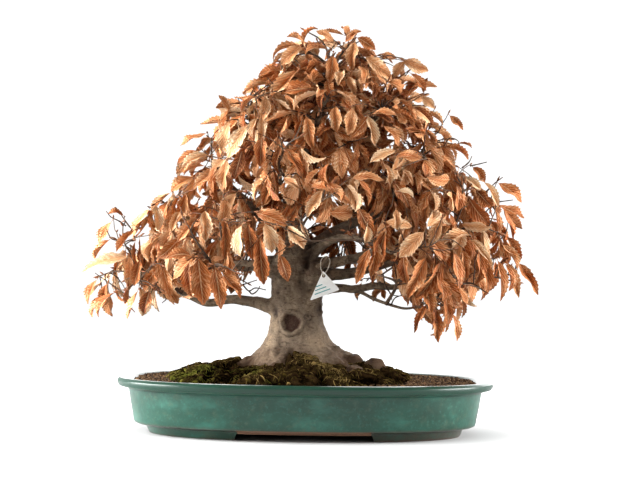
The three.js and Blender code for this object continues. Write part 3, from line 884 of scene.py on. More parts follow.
@dataclass(frozen=True)
class Glaze:
    """Thick green glaze with blotches, paler where it is thin, over brown clay that shows at bare edges."""

    deep: Colour = (9, 46, 34)
    green: Colour = (13, 61, 48)
    sea: Colour = (44, 98, 84)
    olive: Colour = (60, 76, 58)
    thin: Colour = (92, 110, 86)
    smoke: Colour = (64, 50, 42)
    clay: Colour = (150, 112, 84)
    burnt: Colour = (92, 66, 52)
    lip: tuple[float, float] = (0.0543, 0.0575)

    def make(self) -> Material:
        """The material; it reads bare, thin, soot and cut from the mesh."""
        b = Coat("celadon_glaze")
        cloud = b.noise(22, 6, 0.62, (1, 1, 1.6))
        base = b.ramp(cloud, (0.28, self.deep), (0.5, self.green), (0.78, self.sea))
        spots = b.noise(95, 5, 0.7, (1, 1, 1.3))
        base = b.blend(b.span(spots, 0.52, 0.7, (0, 0.55)), base, self.olive)
        base = b.blend(b.span(b.noise(210, 4, 0.7), 0.54, 0.72, (0, 0.5)), base, self.sea)
        base = b.blend(b.times(b.number("thin"), 0.5), base, self.thin)
        soot = b.times(b.number("soot"), b.span(spots, 0.35, 0.55, (0.7, 1.15)), clamp=True)
        base = b.blend(soot, base, self.smoke)
        high = b.add("ShaderNodeSeparateXYZ")
        b.feed(high, 0, b.place())
        base = b.blend(b.span(high.outputs["Z"], *self.lip, (0, 0.95)), base, self.deep)
        base = b.blend(b.span(b.cells(300), 0.1, 0.03, (0, 0.5)), base, self.deep)
        ragged = b.swayed(b.number("bare"), b.noise(240, 4), 0.5, 0.7)
        bare = b.maths("MAXIMUM", b.span(ragged, 0.62, 0.75), b.number("cut"))
        base = b.blend(bare, base, b.blend(b.noise(180, 5, 0.7), self.burnt, self.clay))
        orange_peel = b.bump(b.noise(150, 3, 0.5), 0.0006, 0.25)
        grit = b.bump(b.times(b.noise(1400, 3), bare), 0.0004, 0.8, orange_peel)
        return b.dress(base, b.span(bare, 0, 1, (0.3, 0.8)), grit, Specular_IOR_Level=0.5)


@dataclass(frozen=True)
class Earth:
    """Damp fired-clay soil: warm brown grains of uneven colour."""

    name: str
    dark: Colour = (34, 22, 13)
    warm: Colour = (80, 54, 32)
    light: Colour = (150, 108, 68)

    def make(self) -> Material:
        """The material; it reads tone from the mesh."""
        b = Coat(self.name)
        value = b.swayed(b.number("tone"), b.noise(300, 4, 0.7), 0.5, 0.7)
        base = b.ramp(value, (0.1, self.dark), (0.55, self.warm), (0.95, self.light))
        return b.dress(base, 0.95, b.bump(b.noise(900, 5, 0.7), 0.0008, 0.8), Specular_IOR_Level=0.2)


@dataclass(frozen=True)
class Moss:
    """Moss and root mat: painted shade near black in its hollows, olive and straw-brown on top, green in one
    patch.
    """

    # black stands for the shade in the mat's hollows
    black: Colour = (5, 3, 1)
    brown: Colour = (38, 27, 14)
    olive: Colour = (58, 48, 20)
    straw: Colour = (124, 103, 63)
    fresh: Colour = (84, 86, 32)

    def make(self) -> Material:
        """The material; it reads tone and fresh from the mesh."""
        b = Coat("moss_mat")
        value = b.swayed(b.number("tone"), b.noise(160, 4, 0.7), 0.5, 0.6)
        base = b.ramp(value, (0.1, self.black), (0.42, self.brown), (0.68, self.olive), (1, self.straw))
        base = b.blend(b.times(b.number("fresh"), b.span(value, 0.2, 0.6)), base, self.fresh)
        return b.dress(base, 0.9, b.bump(b.noise(700, 5, 0.7), 0.001, 0.8), Specular_IOR_Level=0.0)


@dataclass(frozen=True)
class Plain:
    """A plain made material with a fine grain, its cells to the metre and its depth in metres."""

    name: str
    colour: Colour
    worn: Colour
    roughness: float
    grain: float
    depth: float
    metal: float = 0.0

    def make(self) -> Material:
        """The material: its two colours in wide patches, under a fine bump."""
        b = Coat(self.name)
        base = b.blend(b.span(b.noise(self.grain * 0.3, 4), 0.35, 0.75), self.colour, self.worn)
        normal = b.bump(b.noise(self.grain, 4, 0.6), self.depth, 0.5)
        return b.dress(base, self.roughness, normal, Metallic=self.metal)


def make_finishes() -> dict[Finish, Material]:
    """Every material of the object."""
    makers = {
        Finish.BARK: Bark(),
        Finish.TWIG: TwigBark(),
        Finish.LEAF: DryLeaf(),
        Finish.GLAZE: Glaze(),
        Finish.SOIL: Earth("packed_soil"),
        Finish.GRAIN: Earth("clay_grain", dark=(30, 20, 12), warm=(64, 45, 28), light=(112, 86, 58)),
        Finish.MOSS: Moss(),
        Finish.TAG: Plain("tag_plastic", (250, 251, 248), (240, 242, 238), 0.42, 900, 0.0001),
        Finish.TAG_INK: Plain("tag_ink", (40, 150, 148), (58, 160, 156), 0.5, 900, 0.0001),
        Finish.STRING: Plain("white_string", (222, 214, 198), (190, 178, 158), 0.85, 2600, 0.0003),
        Finish.MESH: Plain("black_mesh", (28, 28, 28), (44, 44, 42), 0.6, 1200, 0.0002),
        Finish.WIRE: Plain("soft_wire", (176, 176, 178), (150, 148, 146), 0.35, 1500, 0.0001, 1.0),
    }
    return {finish: maker.make() for finish, maker in makers.items()}


# The tree's skeleton

FOOT_MIDDLE = np.array([-8.0, 6.0])


@dataclass(frozen=True)
class Limb:
    """A branch: its route, its radius at both ends and the share of it that grows into the trunk."""

    points: tuple[Place, ...]
    thick: float
    thin: float
    fused: float = 0.0

    def path(self, spacing: float, low: float = 0.0, high: float = 1.0) -> tuple[Array, Array]:
        """Evenly spaced places between two shares of the length, and the radius at each.

        The radius falls from thick to thin as (1 - share) to the power 1.25, and swells again at the collar
        where the branch leaves its parent, by a third of thick that fades over one and a half radii.

        Args:
            spacing: the distance between places.
            low: the share that they start at.
            high: the share that they end at.

        Returns:
            The places, shape (n, 3), and the radii.
        """
        fine = smooth_path(np.array(self.points), 200)
        length = float(np.linalg.norm(np.diff(fine, axis=0), axis=1).sum())
        share = np.linspace(low, high, max(4, int(length * (high - low) / spacing)))
        at = np.linspace(0, 1, len(fine))
        line = np.column_stack([np.interp(share, at, column) for column in fine.T])
        taper = self.thin + (self.thick - self.thin) * (1 - share) ** 1.25
        return line, taper + 0.33 * self.thick * np.exp(-share * length / (1.5 * self.thick))


LIMBS: dict[str, Limb] = {
    "low_left": Limb(
        ((-26, 4, 143), (-46, 3, 151), (-66, 2, 156), (-91, 0, 158), (-119, -3, 154), (-140, -8, 161),
        (-162, -12, 172),
         (-188, -16, 180)), 9.5, 2, 0.5,
    ),
    "upper_left": Limb(
        ((-26, 8, 198), (-46, 10, 203), (-72, 13, 199), (-104, 18, 199), (-126, 24, 211), (-152, 28, 224),
         (-184, 30, 232)), 9, 2, 0.45,
    ),
    "low_right": Limb(
        ((4, -2, 166), (24, -6, 172), (42, -9, 174), (60, -11, 173), (80, -12, 177), (104, -10, 176),
        (140, -6, 184),
         (180, 2, 190)), 7, 1.8, 0.4,
    ),
    "thin_right": Limb(
        ((54, -11, 173), (66, -16, 169), (80, -22, 162), (103, -28, 154), (119, -30, 151), (136, -30, 155),
         (158, -28, 166)), 2.4, 1.2,
    ),
    "middle_right": Limb(
        ((4, 6, 188), (24, 9, 190), (44, 12, 191), (64, 16, 194), (98, 24, 204), (136, 34, 217),
        (180, 42, 226)),
        8.5, 2, 0.4,
    ),
    "upper_right": Limb(
        ((0, -4, 200), (20, -9, 204), (42, -14, 207), (66, -20, 213), (100, -32, 227), (136, -44, 238),
         (170, -52, 243)), 7.5, 2, 0.4,
    ),
    "front_left": Limb(
        ((-22, -8, 184), (-34, -30, 192), (-54, -58, 199), (-80, -88, 202), (-106, -114, 198)), 7.5, 1.8, 0.35
    ),
    "front_right": Limb(((-2, -6, 206), (20, -28, 226), (42, -60, 234), (68, -92, 230),
                         (96, -114, 216)), 7, 1.8, 0.3),
    "front_middle": Limb(((-12, -6, 208), (-14, -30, 226), (-12, -62, 240), (-6, -98, 246)), 6.5, 1.8, 0.35),
    "back_left": Limb(((-24, 14, 180), (-42, 36, 190), (-68, 66, 198), (-98, 96, 202),
                       (-126, 116, 198)), 8, 1.8, 0.35),
    "back_right": Limb(((-2, 16, 186), (14, 38, 196), (40, 70, 204), (76, 100, 208),
                        (112, 118, 202)), 8, 1.8, 0.35),
    "back_middle": Limb(((-14, 16, 202), (-16, 42, 220), (-12, 78, 234), (-4, 112, 238)), 7, 1.8, 0.35),
    "leader": Limb(
        ((-18, 6, 206), (-20, 8, 236), (-18, 12, 268), (-8, 12, 310), (4, 8, 356), (16, 4, 398),
        (28, 0, 438)),
        15, 2, 0.62,
    ),
    "left_leader": Limb(((-22, 6, 212), (-40, 6, 238), (-64, 4, 266), (-90, 2, 292),
                         (-116, 0, 318)), 10, 2, 0.5),
    "right_leader": Limb(
        ((-8, 4, 210), (16, 0, 230), (46, -4, 248), (84, -8, 266), (104, -8, 292), (124, -6, 322),
        (142, -4, 346)),
        10, 2, 0.5,
    ),
    "high_front": Limb(((-20, 10, 252), (-26, -14, 276), (-32, -44, 298), (-36, -72, 314)), 5.5, 1.6, 0.25),
    "high_back": Limb(((-19, 10, 258), (-12, 36, 282), (-2, 66, 304), (8, 92, 318)), 5.5, 1.6, 0.25),
    "high_right": Limb(((-10, 12, 302), (18, 10, 330), (52, 8, 358), (90, 4, 386)), 5.5, 1.6, 0.25),
    "high_left": Limb(((-13, 12, 292), (-38, 12, 326), (-60, 8, 358), (-74, 4, 384)), 5.5, 1.6, 0.25),
    "top_front": Limb(((0, 9, 336), (6, -14, 360), (14, -36, 382), (22, -52, 398)), 4, 1.5),
    "top_back": Limb(((3, 9, 350), (10, 28, 372), (20, 46, 392), (30, 58, 406)), 4, 1.5),
    "tag_spur": Limb(((6, -14, 196), (15, -27, 200), (21, -37, 205), (24, -44, 210)), 4, 2.4),
}


# Leafy twigs by tier: start on the branch, bend and tip, and the share of the way that is the shoot's
TWIGS: dict[int, tuple[tuple[Place | float, ...], ...]] = {
    1: (
        ((158, -28, 166), (212.6, -14.4, 189.8), (255, 0, 184), 0.3954),
        ((180, 2, 190), (203.8, 49, 204.5), (206.3, 101.1, 195.4), 0.3961),
        ((112, 118, 202), (103.6, 141.8, 195.8), (78.8, 163.6, 176.9), 0.1264),
        ((-126, 116, 198), (-111.1, 142.3, 194.7), (-77.6, 163.6, 176.9), 0.1278),
        ((-126, 116, 198), (-168.3, 114.7, 203.6), (-203.1, 101.1, 195.4), 0.2105),
        ((-188, -16, 180), (-223.7, -9.9, 190.6), (-251, 0, 184), 0.1228),
        ((-148.5, -9.7, 165.2), (-184.2, -52.9, 185.2), (-203.1, -101.1, 172.6), 0.4191),
        ((-106, -114, 198), (-98.1, -141.2, 199.9), (-77.6, -163.6, 191.1), 0.1355),
        ((95.6, -26.4, 156.2), (103.9, -91.9, 181), (78.8, -163.6, 191.1), 0.565),
        ((158, -28, 166), (189.1, -60, 182.4), (206.3, -101.1, 172.6), 0.2943),
    ),
    2: (
        ((180, 42, 226), (205.3, 47.2, 235.5), (224.4, 51.3, 234.4), 0.1732),
        ((112, 118, 202), (127.9, 127.2, 213.1), (138.7, 134.3, 220.1), 0.2158),
        ((-4, 112, 238), (-0.7, 142.6, 243.7), (0, 166, 237), 0.144),
        ((-115.9, 109.1, 199.7), (-129.7, 123.9, 222.5), (-135.2, 134.3, 240.8), 0.1583),
        ((-188, -16, 180), (-211.5, 12.8, 210.1), (-218.7, 51.3, 221.6), 0.2693),
        ((-188, -16, 180), (-209.6, -33.1, 211.5), (-218.7, -51.3, 229.6), 0.1173),
        ((-106, -114, 198), (-124, -128, 223.7), (-135.2, -134.3, 243.9), 0.1343),
        ((86.3, -106.8, 221.2), (56.8, -140.2, 229.2), (0, -166, 227), 0.4086),
        ((96, -114, 216), (119.4, -126.4, 221.9), (138.7, -134.3, 223.2), 0.1631),
        ((170, -52, 243), (200.8, -53.2, 249.1), (224.4, -51.3, 242.4), 0.1469),
    ),
    3: (
        ((180, 42, 226), (206.7, 33.2, 256.2), (221.8, 19.2, 274.5), 0.1177),
        ((112, 118, 202), (132.1, 119.4, 250), (134.8, 110.2, 291.7), 0.3323),
        ((-4, 112, 238), (-10.6, 130.1, 268), (-22.3, 136.7, 289.5), 0.1302),
        ((-156.8, 28.4, 225.6), (-152.8, 53.8, 258.7), (-127.8, 83, 275.4), 0.2192),
        ((-170.3, 29.3, 228.9), (-174.1, 7.9, 265.5), (-158.4, -19.2, 279.5), 0.2021),
        ((-89.7, -98, 201), (-99.5, -110.2, 243.6), (-96.3, -110.2, 280.3), 0.2303),
        ((-6, -98, 246), (12, -123, 270.2), (31.2, -136.7, 282.5), 0.1202),
        ((170, -52, 243), (181.2, -67.7, 274.4), (178.9, -83, 296.6), 0.1279),
    ),
    4: (
        ((131.5, -5.2, 332.2), (144.5, 18.9, 351), (151, 47.3, 348.6), 0.1463),
        ((8, 92, 318), (10.4, 101, 325.1), (11.7, 107.7, 327.4), 0.406),
        ((-116, 0, 318), (-118.1, 26.7, 344.4), (-107.8, 60.4, 348.6), 0.1173),
        ((-107.6, 0.6, 309.6), (-116.2, -21.3, 327.2), (-116.8, -47.3, 327.4), 0.1642),
        ((-36, -72, 314), (-24.7, -93.9, 338.6), (-9.1, -107.7, 348.6), 0.1344),
        ((121.4, -6.3, 318.2), (133.3, -30.2, 333.9), (139.3, -60.4, 327.4), 0.1574),
    ),
    5: (
        ((72.4, 6, 373.2), (91.8, 24.1, 386.5), (104.2, 47.6, 382.6), 0.1528),
        ((-74, 4, 384), (-67.7, 26.8, 403), (-52.7, 56.7, 399.4), 0.1291),
        ((-74, 4, 384), (-72, -20.1, 401.2), (-62.8, -47.6, 397.4), 0.1396),
        ((72.4, 6, 373.2), (85.4, -22.9, 387.6), (87.4, -56.7, 380.6), 0.1254),
    ),
    6: (
        ((20.4, 46.6, 392.7), (21.3, 47.2, 426.5), (16.3, 39.4, 446), 0.1487),
        ((28, 0, 438), (1.6, -6.9, 455.7), (-35.7, -13.7, 446), 0.1219),
        ((28, 0, 438), (49.6, -12.2, 452.6), (72, -25.7, 446), 0.1551),
    ),
    7: (
        ((28, 0, 438), (43, -0.5, 462.8), (58, 0, 471.6), 0.1777),
        ((28, 0, 438), (14.7, -0.7, 471.2), (-6, 0, 484.4), 0.139),
    ),
}


# Roots that run out over the soil: the points on each, then its radius at both ends
ROOTS = (
    (((28, -2, 90), (56, -8, 80), (84, -18, 71), (112, -30, 58)), 14, 6),
    (((-34, -2, 92), (-66, -6, 81), (-94, -12, 72), (-120, -18, 58)), 15, 5),
    (((-22, -20, 88), (-36, -46, 76), (-50, -72, 66), (-60, -94, 52)), 14, 5),
    (((20, -20, 88), (44, -38, 76), (60, -62, 65), (72, -84, 50)), 14, 6),
    (((-24, 26, 88), (-42, 52, 76), (-58, 78, 64), (-70, 98, 50)), 14, 5),
    (((14, 28, 88), (34, 54, 76), (52, 80, 64), (66, 100, 50)), 14, 5),
)

# Round lumps of root that stand out of the moss: middle and radius
KNUCKLES = (
    (56, -12, 82, 14), (83, -22, 78, 14), (94, -30, 68, 10), (58, -60, 71, 13), (2, -62, 73, 13),
    (-34, -54, 66, 11),
)

# The pale stub under the fork: points, then its radius at the ends and between them
STUB = ((0, -6, 176), (8, -14, 190), (12, -17, 201))
STUB_RADII = (15, 12.5, 8)

# Knobs of bark: middle and radius
KNOBS = (
    (16, -6, 152, 4.5), (17, -4, 144, 4.5), (15, -8, 158, 3.5), (-40, -8, 150, 5), (24, -6, 117, 4.5),
    (38, -6, 101, 5),
)

# Trunk sections: height, middle x, middle y, half width, half depth
SECTIONS = (
    (42, -6, 6, 58, 46), (66, -5, 6, 70, 56), (84, -3, 6, 69, 52), (94, -4, 6, 58, 45),
    (106, -9.5, 6, 43, 38),
    (119, -10, 5, 36.5, 34), (136, -12, 5, 31.5, 30.5), (152, -12, 5, 31, 29), (172, -12, 5, 31.5, 28.5),
    (192, -13, 5, 30, 27), (210, -15, 5, 25, 23), (226, -18, 6, 15, 15),
)

# Dark marks on the front of the trunk: middle x and z, half width and half height, strength
# The mark at x 1, z 206 is painted shade in the fork.
SCARS = (
    (-37, 143, 4, 8, 0.9), (-34, 167, 2.6, 2.2, 0.9), (-20, 170, 1.8, 9, 0.6), (-12, 146, 2.4, 1.6, 0.9),
    (3, 170, 2.6, 2.6, 0.8), (18, 149, 4, 7, 1.0), (4, 131, 1.5, 7, 0.5), (1, 206, 8, 13, 0.8),
    (27, 119, 2.2, 5, 0.7), (-46, 112, 1.6, 4, 0.6), (-33, 133, 1.6, 5, 0.7), (2, 140, 2.2, 2, 1.0),
    (40, 104, 3, 2.2, 0.7), (-8, 184, 2, 12, 0.5), (47, 95, 2.2, 4, 0.8), (78, 89, 2.4, 5, 0.8),
)


# Fine bare twigs: depth y, then the places in the picture that each passes
BARE_TWIGS = (
    (-12, (231, 293), (240, 286), (248, 283), (257, 280)), (-12, (243, 285), (249, 291), (255, 288),
    (266, 290)),
    (-12, (249, 291), (252, 294), (257, 291), (260, 286)), (-30, (391, 305), (395, 298), (402, 295),
    (408, 290)),
    (-24, (383, 274), (386, 287), (393, 295), (399, 296)), (-20, (386, 287), (390, 293), (392, 300)),
    (0, (134, 232), (126, 222), (120, 213), (115, 207)), (0, (126, 226), (119, 221), (111, 217), (106, 211)),
    (-6, (121, 240), (112, 239), (108, 233), (106, 228)), (-10, (134, 300), (122, 292), (108, 282),
    (95, 273)),
    (-8, (128, 297), (129, 288), (130, 279)), (0, (444, 146), (450, 138), (459, 142), (455, 146)),
    (0, (462, 168), (469, 162), (472, 156)), (0, (470, 166), (479, 164), (487, 162)),
    (0, (486, 192), (494, 184), (503, 177)), (0, (488, 204), (498, 202), (513, 200)),
    (0, (500, 240), (506, 232), (508, 223)), (-20, (434, 306), (441, 312), (454, 313)),
    (0, (242, 118), (241, 108), (238, 98)), (0, (240, 108), (248, 103), (257, 98)),
    (-40, (282, 92), (272, 83), (268, 78)), (0, (346, 50), (339, 44), (331, 38)),
    (0, (420, 66), (412, 68), (405, 76)), (0, (150, 286), (160, 292), (172, 294), (180, 292)),
    (0, (163, 293), (166, 299), (162, 303)),
)


@dataclass
class Wood:
    """Trunk, roots, branches and shoots."""

    finishes: dict[Finish, Material]
    view: ViewPoint
    voxel: float = 1.45
    smoothings: int = 7
    flutes: tuple[int, int] = (5, 9)
    wound: tuple[float, float] = (-17.0, 132.0)
    wound_radius: float = 10.5
    knot: tuple[float, float] = (2.0, 138.5)
    shoot_points: int = 14
    shoot_end: float = 1.5

    def trunk_shell(self) -> Shell:
        """The trunk: smoothly blended oval sections with lengthways flutes that deepen towards the root base.

        Returns:
            The closed trunk.
        """
        table = smooth_path(np.array(SECTIONS, float)[:, [1, 2, 0, 3, 4]], 80)
        turn = np.linspace(0, math.tau, 96, endpoint=False)
        depth = ease(135, 70, table[:, 2])[:, None] * 0.07 + 0.015
        few, many = self.flutes
        flute = 1 + depth * (np.sin(turn * few + 0.8) + 0.6 * np.sin(turn * many + 2.1)) / 1.6
        x = table[:, 0:1] + table[:, 3:4] * np.cos(turn) * flute
        y = table[:, 1:2] + table[:, 4:5] * np.sin(turn) * flute
        rings = np.stack([x, y, table[:, 2:3] + 0 * x], -1)
        return turned(rings, rings[0].mean(axis=0), rings[-1].mean(axis=0))

    def fused_shells(self) -> list[Shell]:
        """Everything that is melted into one surface.

        Returns:
            Trunk, roots, branch bases, the pale stub, the knobs and the knuckles, as round rods whose radius
            is the root of 1 - t squared from end to end.
        """
        parts = [self.trunk_shell()]
        share = np.linspace(0, 1, 40)
        for points, thick, thin in ROOTS:
            line = smooth_path(np.array(points, float), 40)
            lumps = 1 + 0.22 * noise(line, 15.0, 5) + 0.1 * noise(line, 7.0, 6)
            parts.append(tubes(line[None], (mix(thick, thin, share**0.7) * lumps)[None], 16))
        for limb in LIMBS.values():
            if limb.fused:
                line, radius = limb.path(2.5, 0.0, limb.fused)
                parts.append(tubes(line[None], radius[None], 14))
        stub = smooth_path(np.array(STUB, float), 14)
        parts.append(tubes(stub[None], np.interp(np.arange(14), [0, 9, 13], STUB_RADII)[None], 16))
        knobs, knuckles = np.array(KNOBS, float), np.array(KNUCKLES, float)
        parts.append(blobs(knobs[:, :3], knobs[:, 3:] * np.ones(3), 3))
        t = np.linspace(-1, 1, 13)
        lines = knuckles[:, None, :3] + t[None, :, None] * knuckles[:, None, 3:] * np.array([1, -0.3, -0.25])
        parts.append(tubes(lines, knuckles[:, 3:] * np.maximum(np.sqrt(1 - t**2), 0.08), 16))
        return parts

    def relief(self, points: Array, front: Array) -> Array:
        """How far the bark's texture moves the surface outwards.

        Broad swellings, fine level wrinkles and, low down, upright ridges are noises in stretched cells
        that are dragged about by a wider noise. Curved level bands cross the front of the root base.

        Args:
            points: places in millimetres.
            front: 1 where the surface faces the front.

        Returns:
            The distance at each place.
        """
        x, _, z = points.T
        low = ease(128, 88, z)
        warped = points + 3.0 * np.column_stack([noise(points, 13.0, k) for k in (24, 25, 26)])
        shift = 0.8 * layered_noise(points, 15.0, 3, 11)
        shift += 0.4 * noise(warped, np.array([9.0, 9.0, 3.0]), 21) * ease(95, 125, z)
        shift += 0.25 * noise(warped, np.array([4.0, 4.0, 2.0]), 22)
        shift += low * 1.7 * noise(warped, np.array([7.5, 7.5, 26.0]), 31) * ease(58, 80, z)
        shift += low * 0.9 * layered_noise(points, 7.0, 3, 32)
        bands = np.sin((z + 0.0035 * (x + 6) ** 2) * math.tau / 4.6 + 1.5 * noise(points, 18.0, 33))
        return shift + front * 0.32 * bands * ease(90, 96, z) * ease(114, 108, z)

    def wound_marks(self, points: Array, front: Array) -> tuple[Array, Array, Array]:
        """The healed wound: a sunk, cracked disc with an uneven edge, in a raised lip and two rings.

        Args:
            points: places in millimetres.
            front: 1 where the surface faces the front.

        Returns:
            How far the surface moves, how scarred it is, and the wound's own share.
        """
        across, up = points[:, 0] - self.wound[0], points[:, 2] - self.wound[1]
        away, round_it = np.hypot(across, up), np.arctan2(up, across)
        rim = self.wound_radius + 0.7 * np.sin(round_it * 3 + 1) + 0.4 * np.sin(round_it * 7)
        heart = front * ease(rim + 0.6, rim - 1.2, away)
        cracks = np.abs(np.sin(round_it * 5.5 + 0.8 * np.sin(away * 0.9)))
        split = 0.9 * ease(0.45, 0.1, cracks) * ease(1.5, 5, away)
        shift = -heart * (3.0 + split + 0.4 * noise(points, 2.0, 41))
        shift += front * 2.6 * hump(away - rim, 2.4, 2.0)
        shift -= front * 0.9 * hump(away - rim, 6.0, 0.9) * ease(0.2, 0.9, np.abs(np.sin(round_it)))
        deep = heart * 0.95 * ease(0.42, 0.16, cracks) * ease(1.5, 4, away)
        scar = np.maximum(front * 0.5 * hump(away - rim, 5.6, 0.9), deep)
        return shift, scar, heart

    def knot_marks(self, points: Array, front: Array) -> tuple[Array, Array]:
        """The eye-shaped scar: a low boss in a groove and a ring, all wider than high.

        Args:
            points: places in millimetres.
            front: 1 where the surface faces the front.

        Returns:
            How far the surface moves, and how scarred it is.
        """
        ring = np.hypot(points[:, 0] - self.knot[0], (points[:, 2] - self.knot[1]) * 1.25)
        shift = 1.4 * hump(ring, 0, 3.8) - 1.3 * hump(ring, 4.6, 1.0) + 0.9 * hump(ring, 7.2, 1.4)
        return front * shift, front * 0.8 * hump(ring, 4.7, 0.8)

    def carve(self, points: Array, normals: Array) -> tuple[Array, dict[str, Array]]:
        """Moves the melted surface in and out for bark, wound, knot and clefts, and says where it is dark.

        Each point moves along its normal by the bark's relief, the wound, the knot, a groove under each
        scar, a cleft up the fork and the swelling of the pale stub. The foot darkens up to an uneven line
        over the soil.

        Args:
            points: places in millimetres.
            normals: the surface's normals.

        Returns:
            The moved places, and the numbers scar, heart, tinge and height; scar and height also hold painted
            shade.
        """
        x, y, z = points.T
        front = ease(0.0, -0.5, normals[:, 1]) * ease(5, -5, y)
        wound_shift, scar, heart = self.wound_marks(points, front)
        knot_shift, knot_scar = self.knot_marks(points, front)
        shift = self.relief(points, front) + wound_shift + knot_shift
        scar = np.maximum(scar, knot_scar)
        wobble = np.exp(0.35 * noise(points, 3.5, 51))
        for mx, mz, rx, rz, strength in SCARS:
            mark = front * strength * hump(x, mx, rx) * hump(z, mz, rz) * wobble
            scar = np.maximum(scar, np.clip(mark * 1.3 - 0.15, 0, 1))
            shift -= 0.8 * np.clip(mark, 0, 1)
        cleft = hump(x - 0.12 * (z - 205), 1, 3.2) * ease(186, 200, z) * ease(232, 222, z) * front
        stub = hump(x, 8, 8) * hump(z, 188, 15) * front
        shift += 5.0 * stub - 3.4 * cleft
        # painted shade: the cleft up the fork is darkened as well as grooved
        scar = np.maximum(scar, 0.8 * cleft)
        scar = np.maximum(scar, 0.75 * ease(0.62, 0.8, noise(points, 4.2, 61)) * ease(120, 150, z))
        soil_line = 18 + 8 * noise(points, 14.0, 71)
        height = z - ground_height(x, y)
        outer = 2.2 * ease(52, 70, np.hypot(x + 6, y - 6)) * ease(130, 110, z)
        tinge = np.maximum(ease(soil_line + 11, soil_line - 8, height) * 0.85, outer)
        scar = np.maximum(scar, 0.4 * ease(0.2, 0.8, noise(points, 7.0, 72)) * ease(13, 2, height))
        # height drives painted shade: darker up the trunk, less on the side branch bases and on the pale stub
        shaded = z * (1 - 0.3 * ease(26, 50, np.abs(x + 12))) - 70 * stub
        numbers = {"scar": scar * (1 - 0.6 * stub), "heart": heart, "tinge": tinge, "height": shaded}
        return points + normals * shift[:, None], numbers

    def build_trunk(self) -> None:
        """Melts the trunk, roots and branch bases into one skin, smooths it and carves it."""
        skin = put_down("trunk_skin", Shell.joined(self.fused_shells()))
        melt = skin.modifiers.new("melt", "REMESH")
        melt.mode = "VOXEL"
        melt.voxel_size = self.voxel / 1000
        soften = skin.modifiers.new("soften", "SMOOTH")
        soften.iterations = self.smoothings
        soften.factor = 0.6
        settle_modifiers(skin)
        places, numbers = self.carve(*read_mesh(skin.data))
        skin.data.vertices.foreach_set("co", to_metres(places).astype(np.float32).ravel())
        note(skin.data, "POINT", numbers)
        skin.data.update()
        finish_piece(skin, self.finishes[Finish.BARK], ("trunk_and_branches",))

    def build_limbs(self) -> None:
        """The outer stretches of the branches, each a tapering rod with a lumpy section."""
        sides = 12
        turn = np.arange(sides) * (math.tau / sides)
        parts = []
        for limb in LIMBS.values():
            line, radius = limb.path(2.6, max(0.0, limb.fused - 0.05), 1.0)
            step = np.arange(len(line))
            lumps = 1 + 0.1 * noise(line, 9.0, 81) + 0.05 * noise(line, 3.0, 82)
            if limb.fused:
                lumps = lumps * mix(0.93, 1.0, ease(0, 9, step))
            uneven = 1 + 0.05 * np.sin(turn * 3 + step[:, None] * 0.35)
            parts.append(tubes(line[None], ((radius * lumps)[:, None] * uneven)[None], sides))
        shell = Shell.joined(parts)
        shell.at_points = {
            "scar": 0.8 * ease(0.5, 0.75, noise(shell.points, 4.2, 61)),
            "heart": np.zeros(len(shell.points)),
            "tinge": np.zeros(len(shell.points)),
            # height drives the painted shade, gentler here than on the trunk
            "height": 0.7 * shell.points[:, 2],
        }
        finish_piece(put_down("outer_branches", shell), self.finishes[Finish.BARK])

    def build_shoots(self, routes: list[Route]) -> None:
        """The shoots that lead from a branch to each leafy twig, and the bare twigs of the picture.

        Args:
            routes: the twigs' routes.
        """
        count = self.shoot_points
        paths = np.array([smooth_path(r.points[: r.cut + 1], count) for r in routes])
        radii = mix(Route.start_radius, self.shoot_end, np.linspace(0, 1, count) ** 0.6)
        radii = radii * (1 + 0.1 * noise(paths, 6.0, 91))
        routes_seen = [self.view.placed(np.array(line, float), depth) for depth, *line in BARE_TWIGS]
        bare = np.array([smooth_path(line, count) for line in routes_seen])
        thin = np.linspace(1.0, 0.5, count) * (1 + 0.25 * noise(bare, 2.2, 92))
        shell = Shell.joined([tubes(paths, radii, 8), tubes(bare, thin, 6)])
        shell.at_points["bud"] = np.zeros(len(shell.points))
        finish_piece(put_down("shoots", shell), self.finishes[Finish.TWIG])


@dataclass
class Route:
    """The way of one leafy twig: its points, and the number of the point where the named twig starts."""

    name: str
    points: Array
    cut: int
    start_radius: ClassVar[float] = 2.6


def twig_routes() -> list[Route]:
    """Every twig's route, with 60 points each.

    Returns:
        The routes, tier by tier.
    """
    routes = []
    for tier, rows in TWIGS.items():
        for number, (*corners, share) in enumerate(rows, 1):
            points = smooth_path(np.array(corners, float), 60)
            routes.append(Route(f"leafy_twig_tier{tier}_{number:02d}", points, round(share * 59)))
    return routes


def ground_height(x: Array, y: Array) -> Array:
    """Height of the soil: 61 at the edge and a bell-shaped mound of 23 round the foot of the trunk."""
    return 61 + 23 * hump(x, FOOT_MIDDLE[0], 120) * hump(y, FOOT_MIDDLE[1], 85)


# The crown


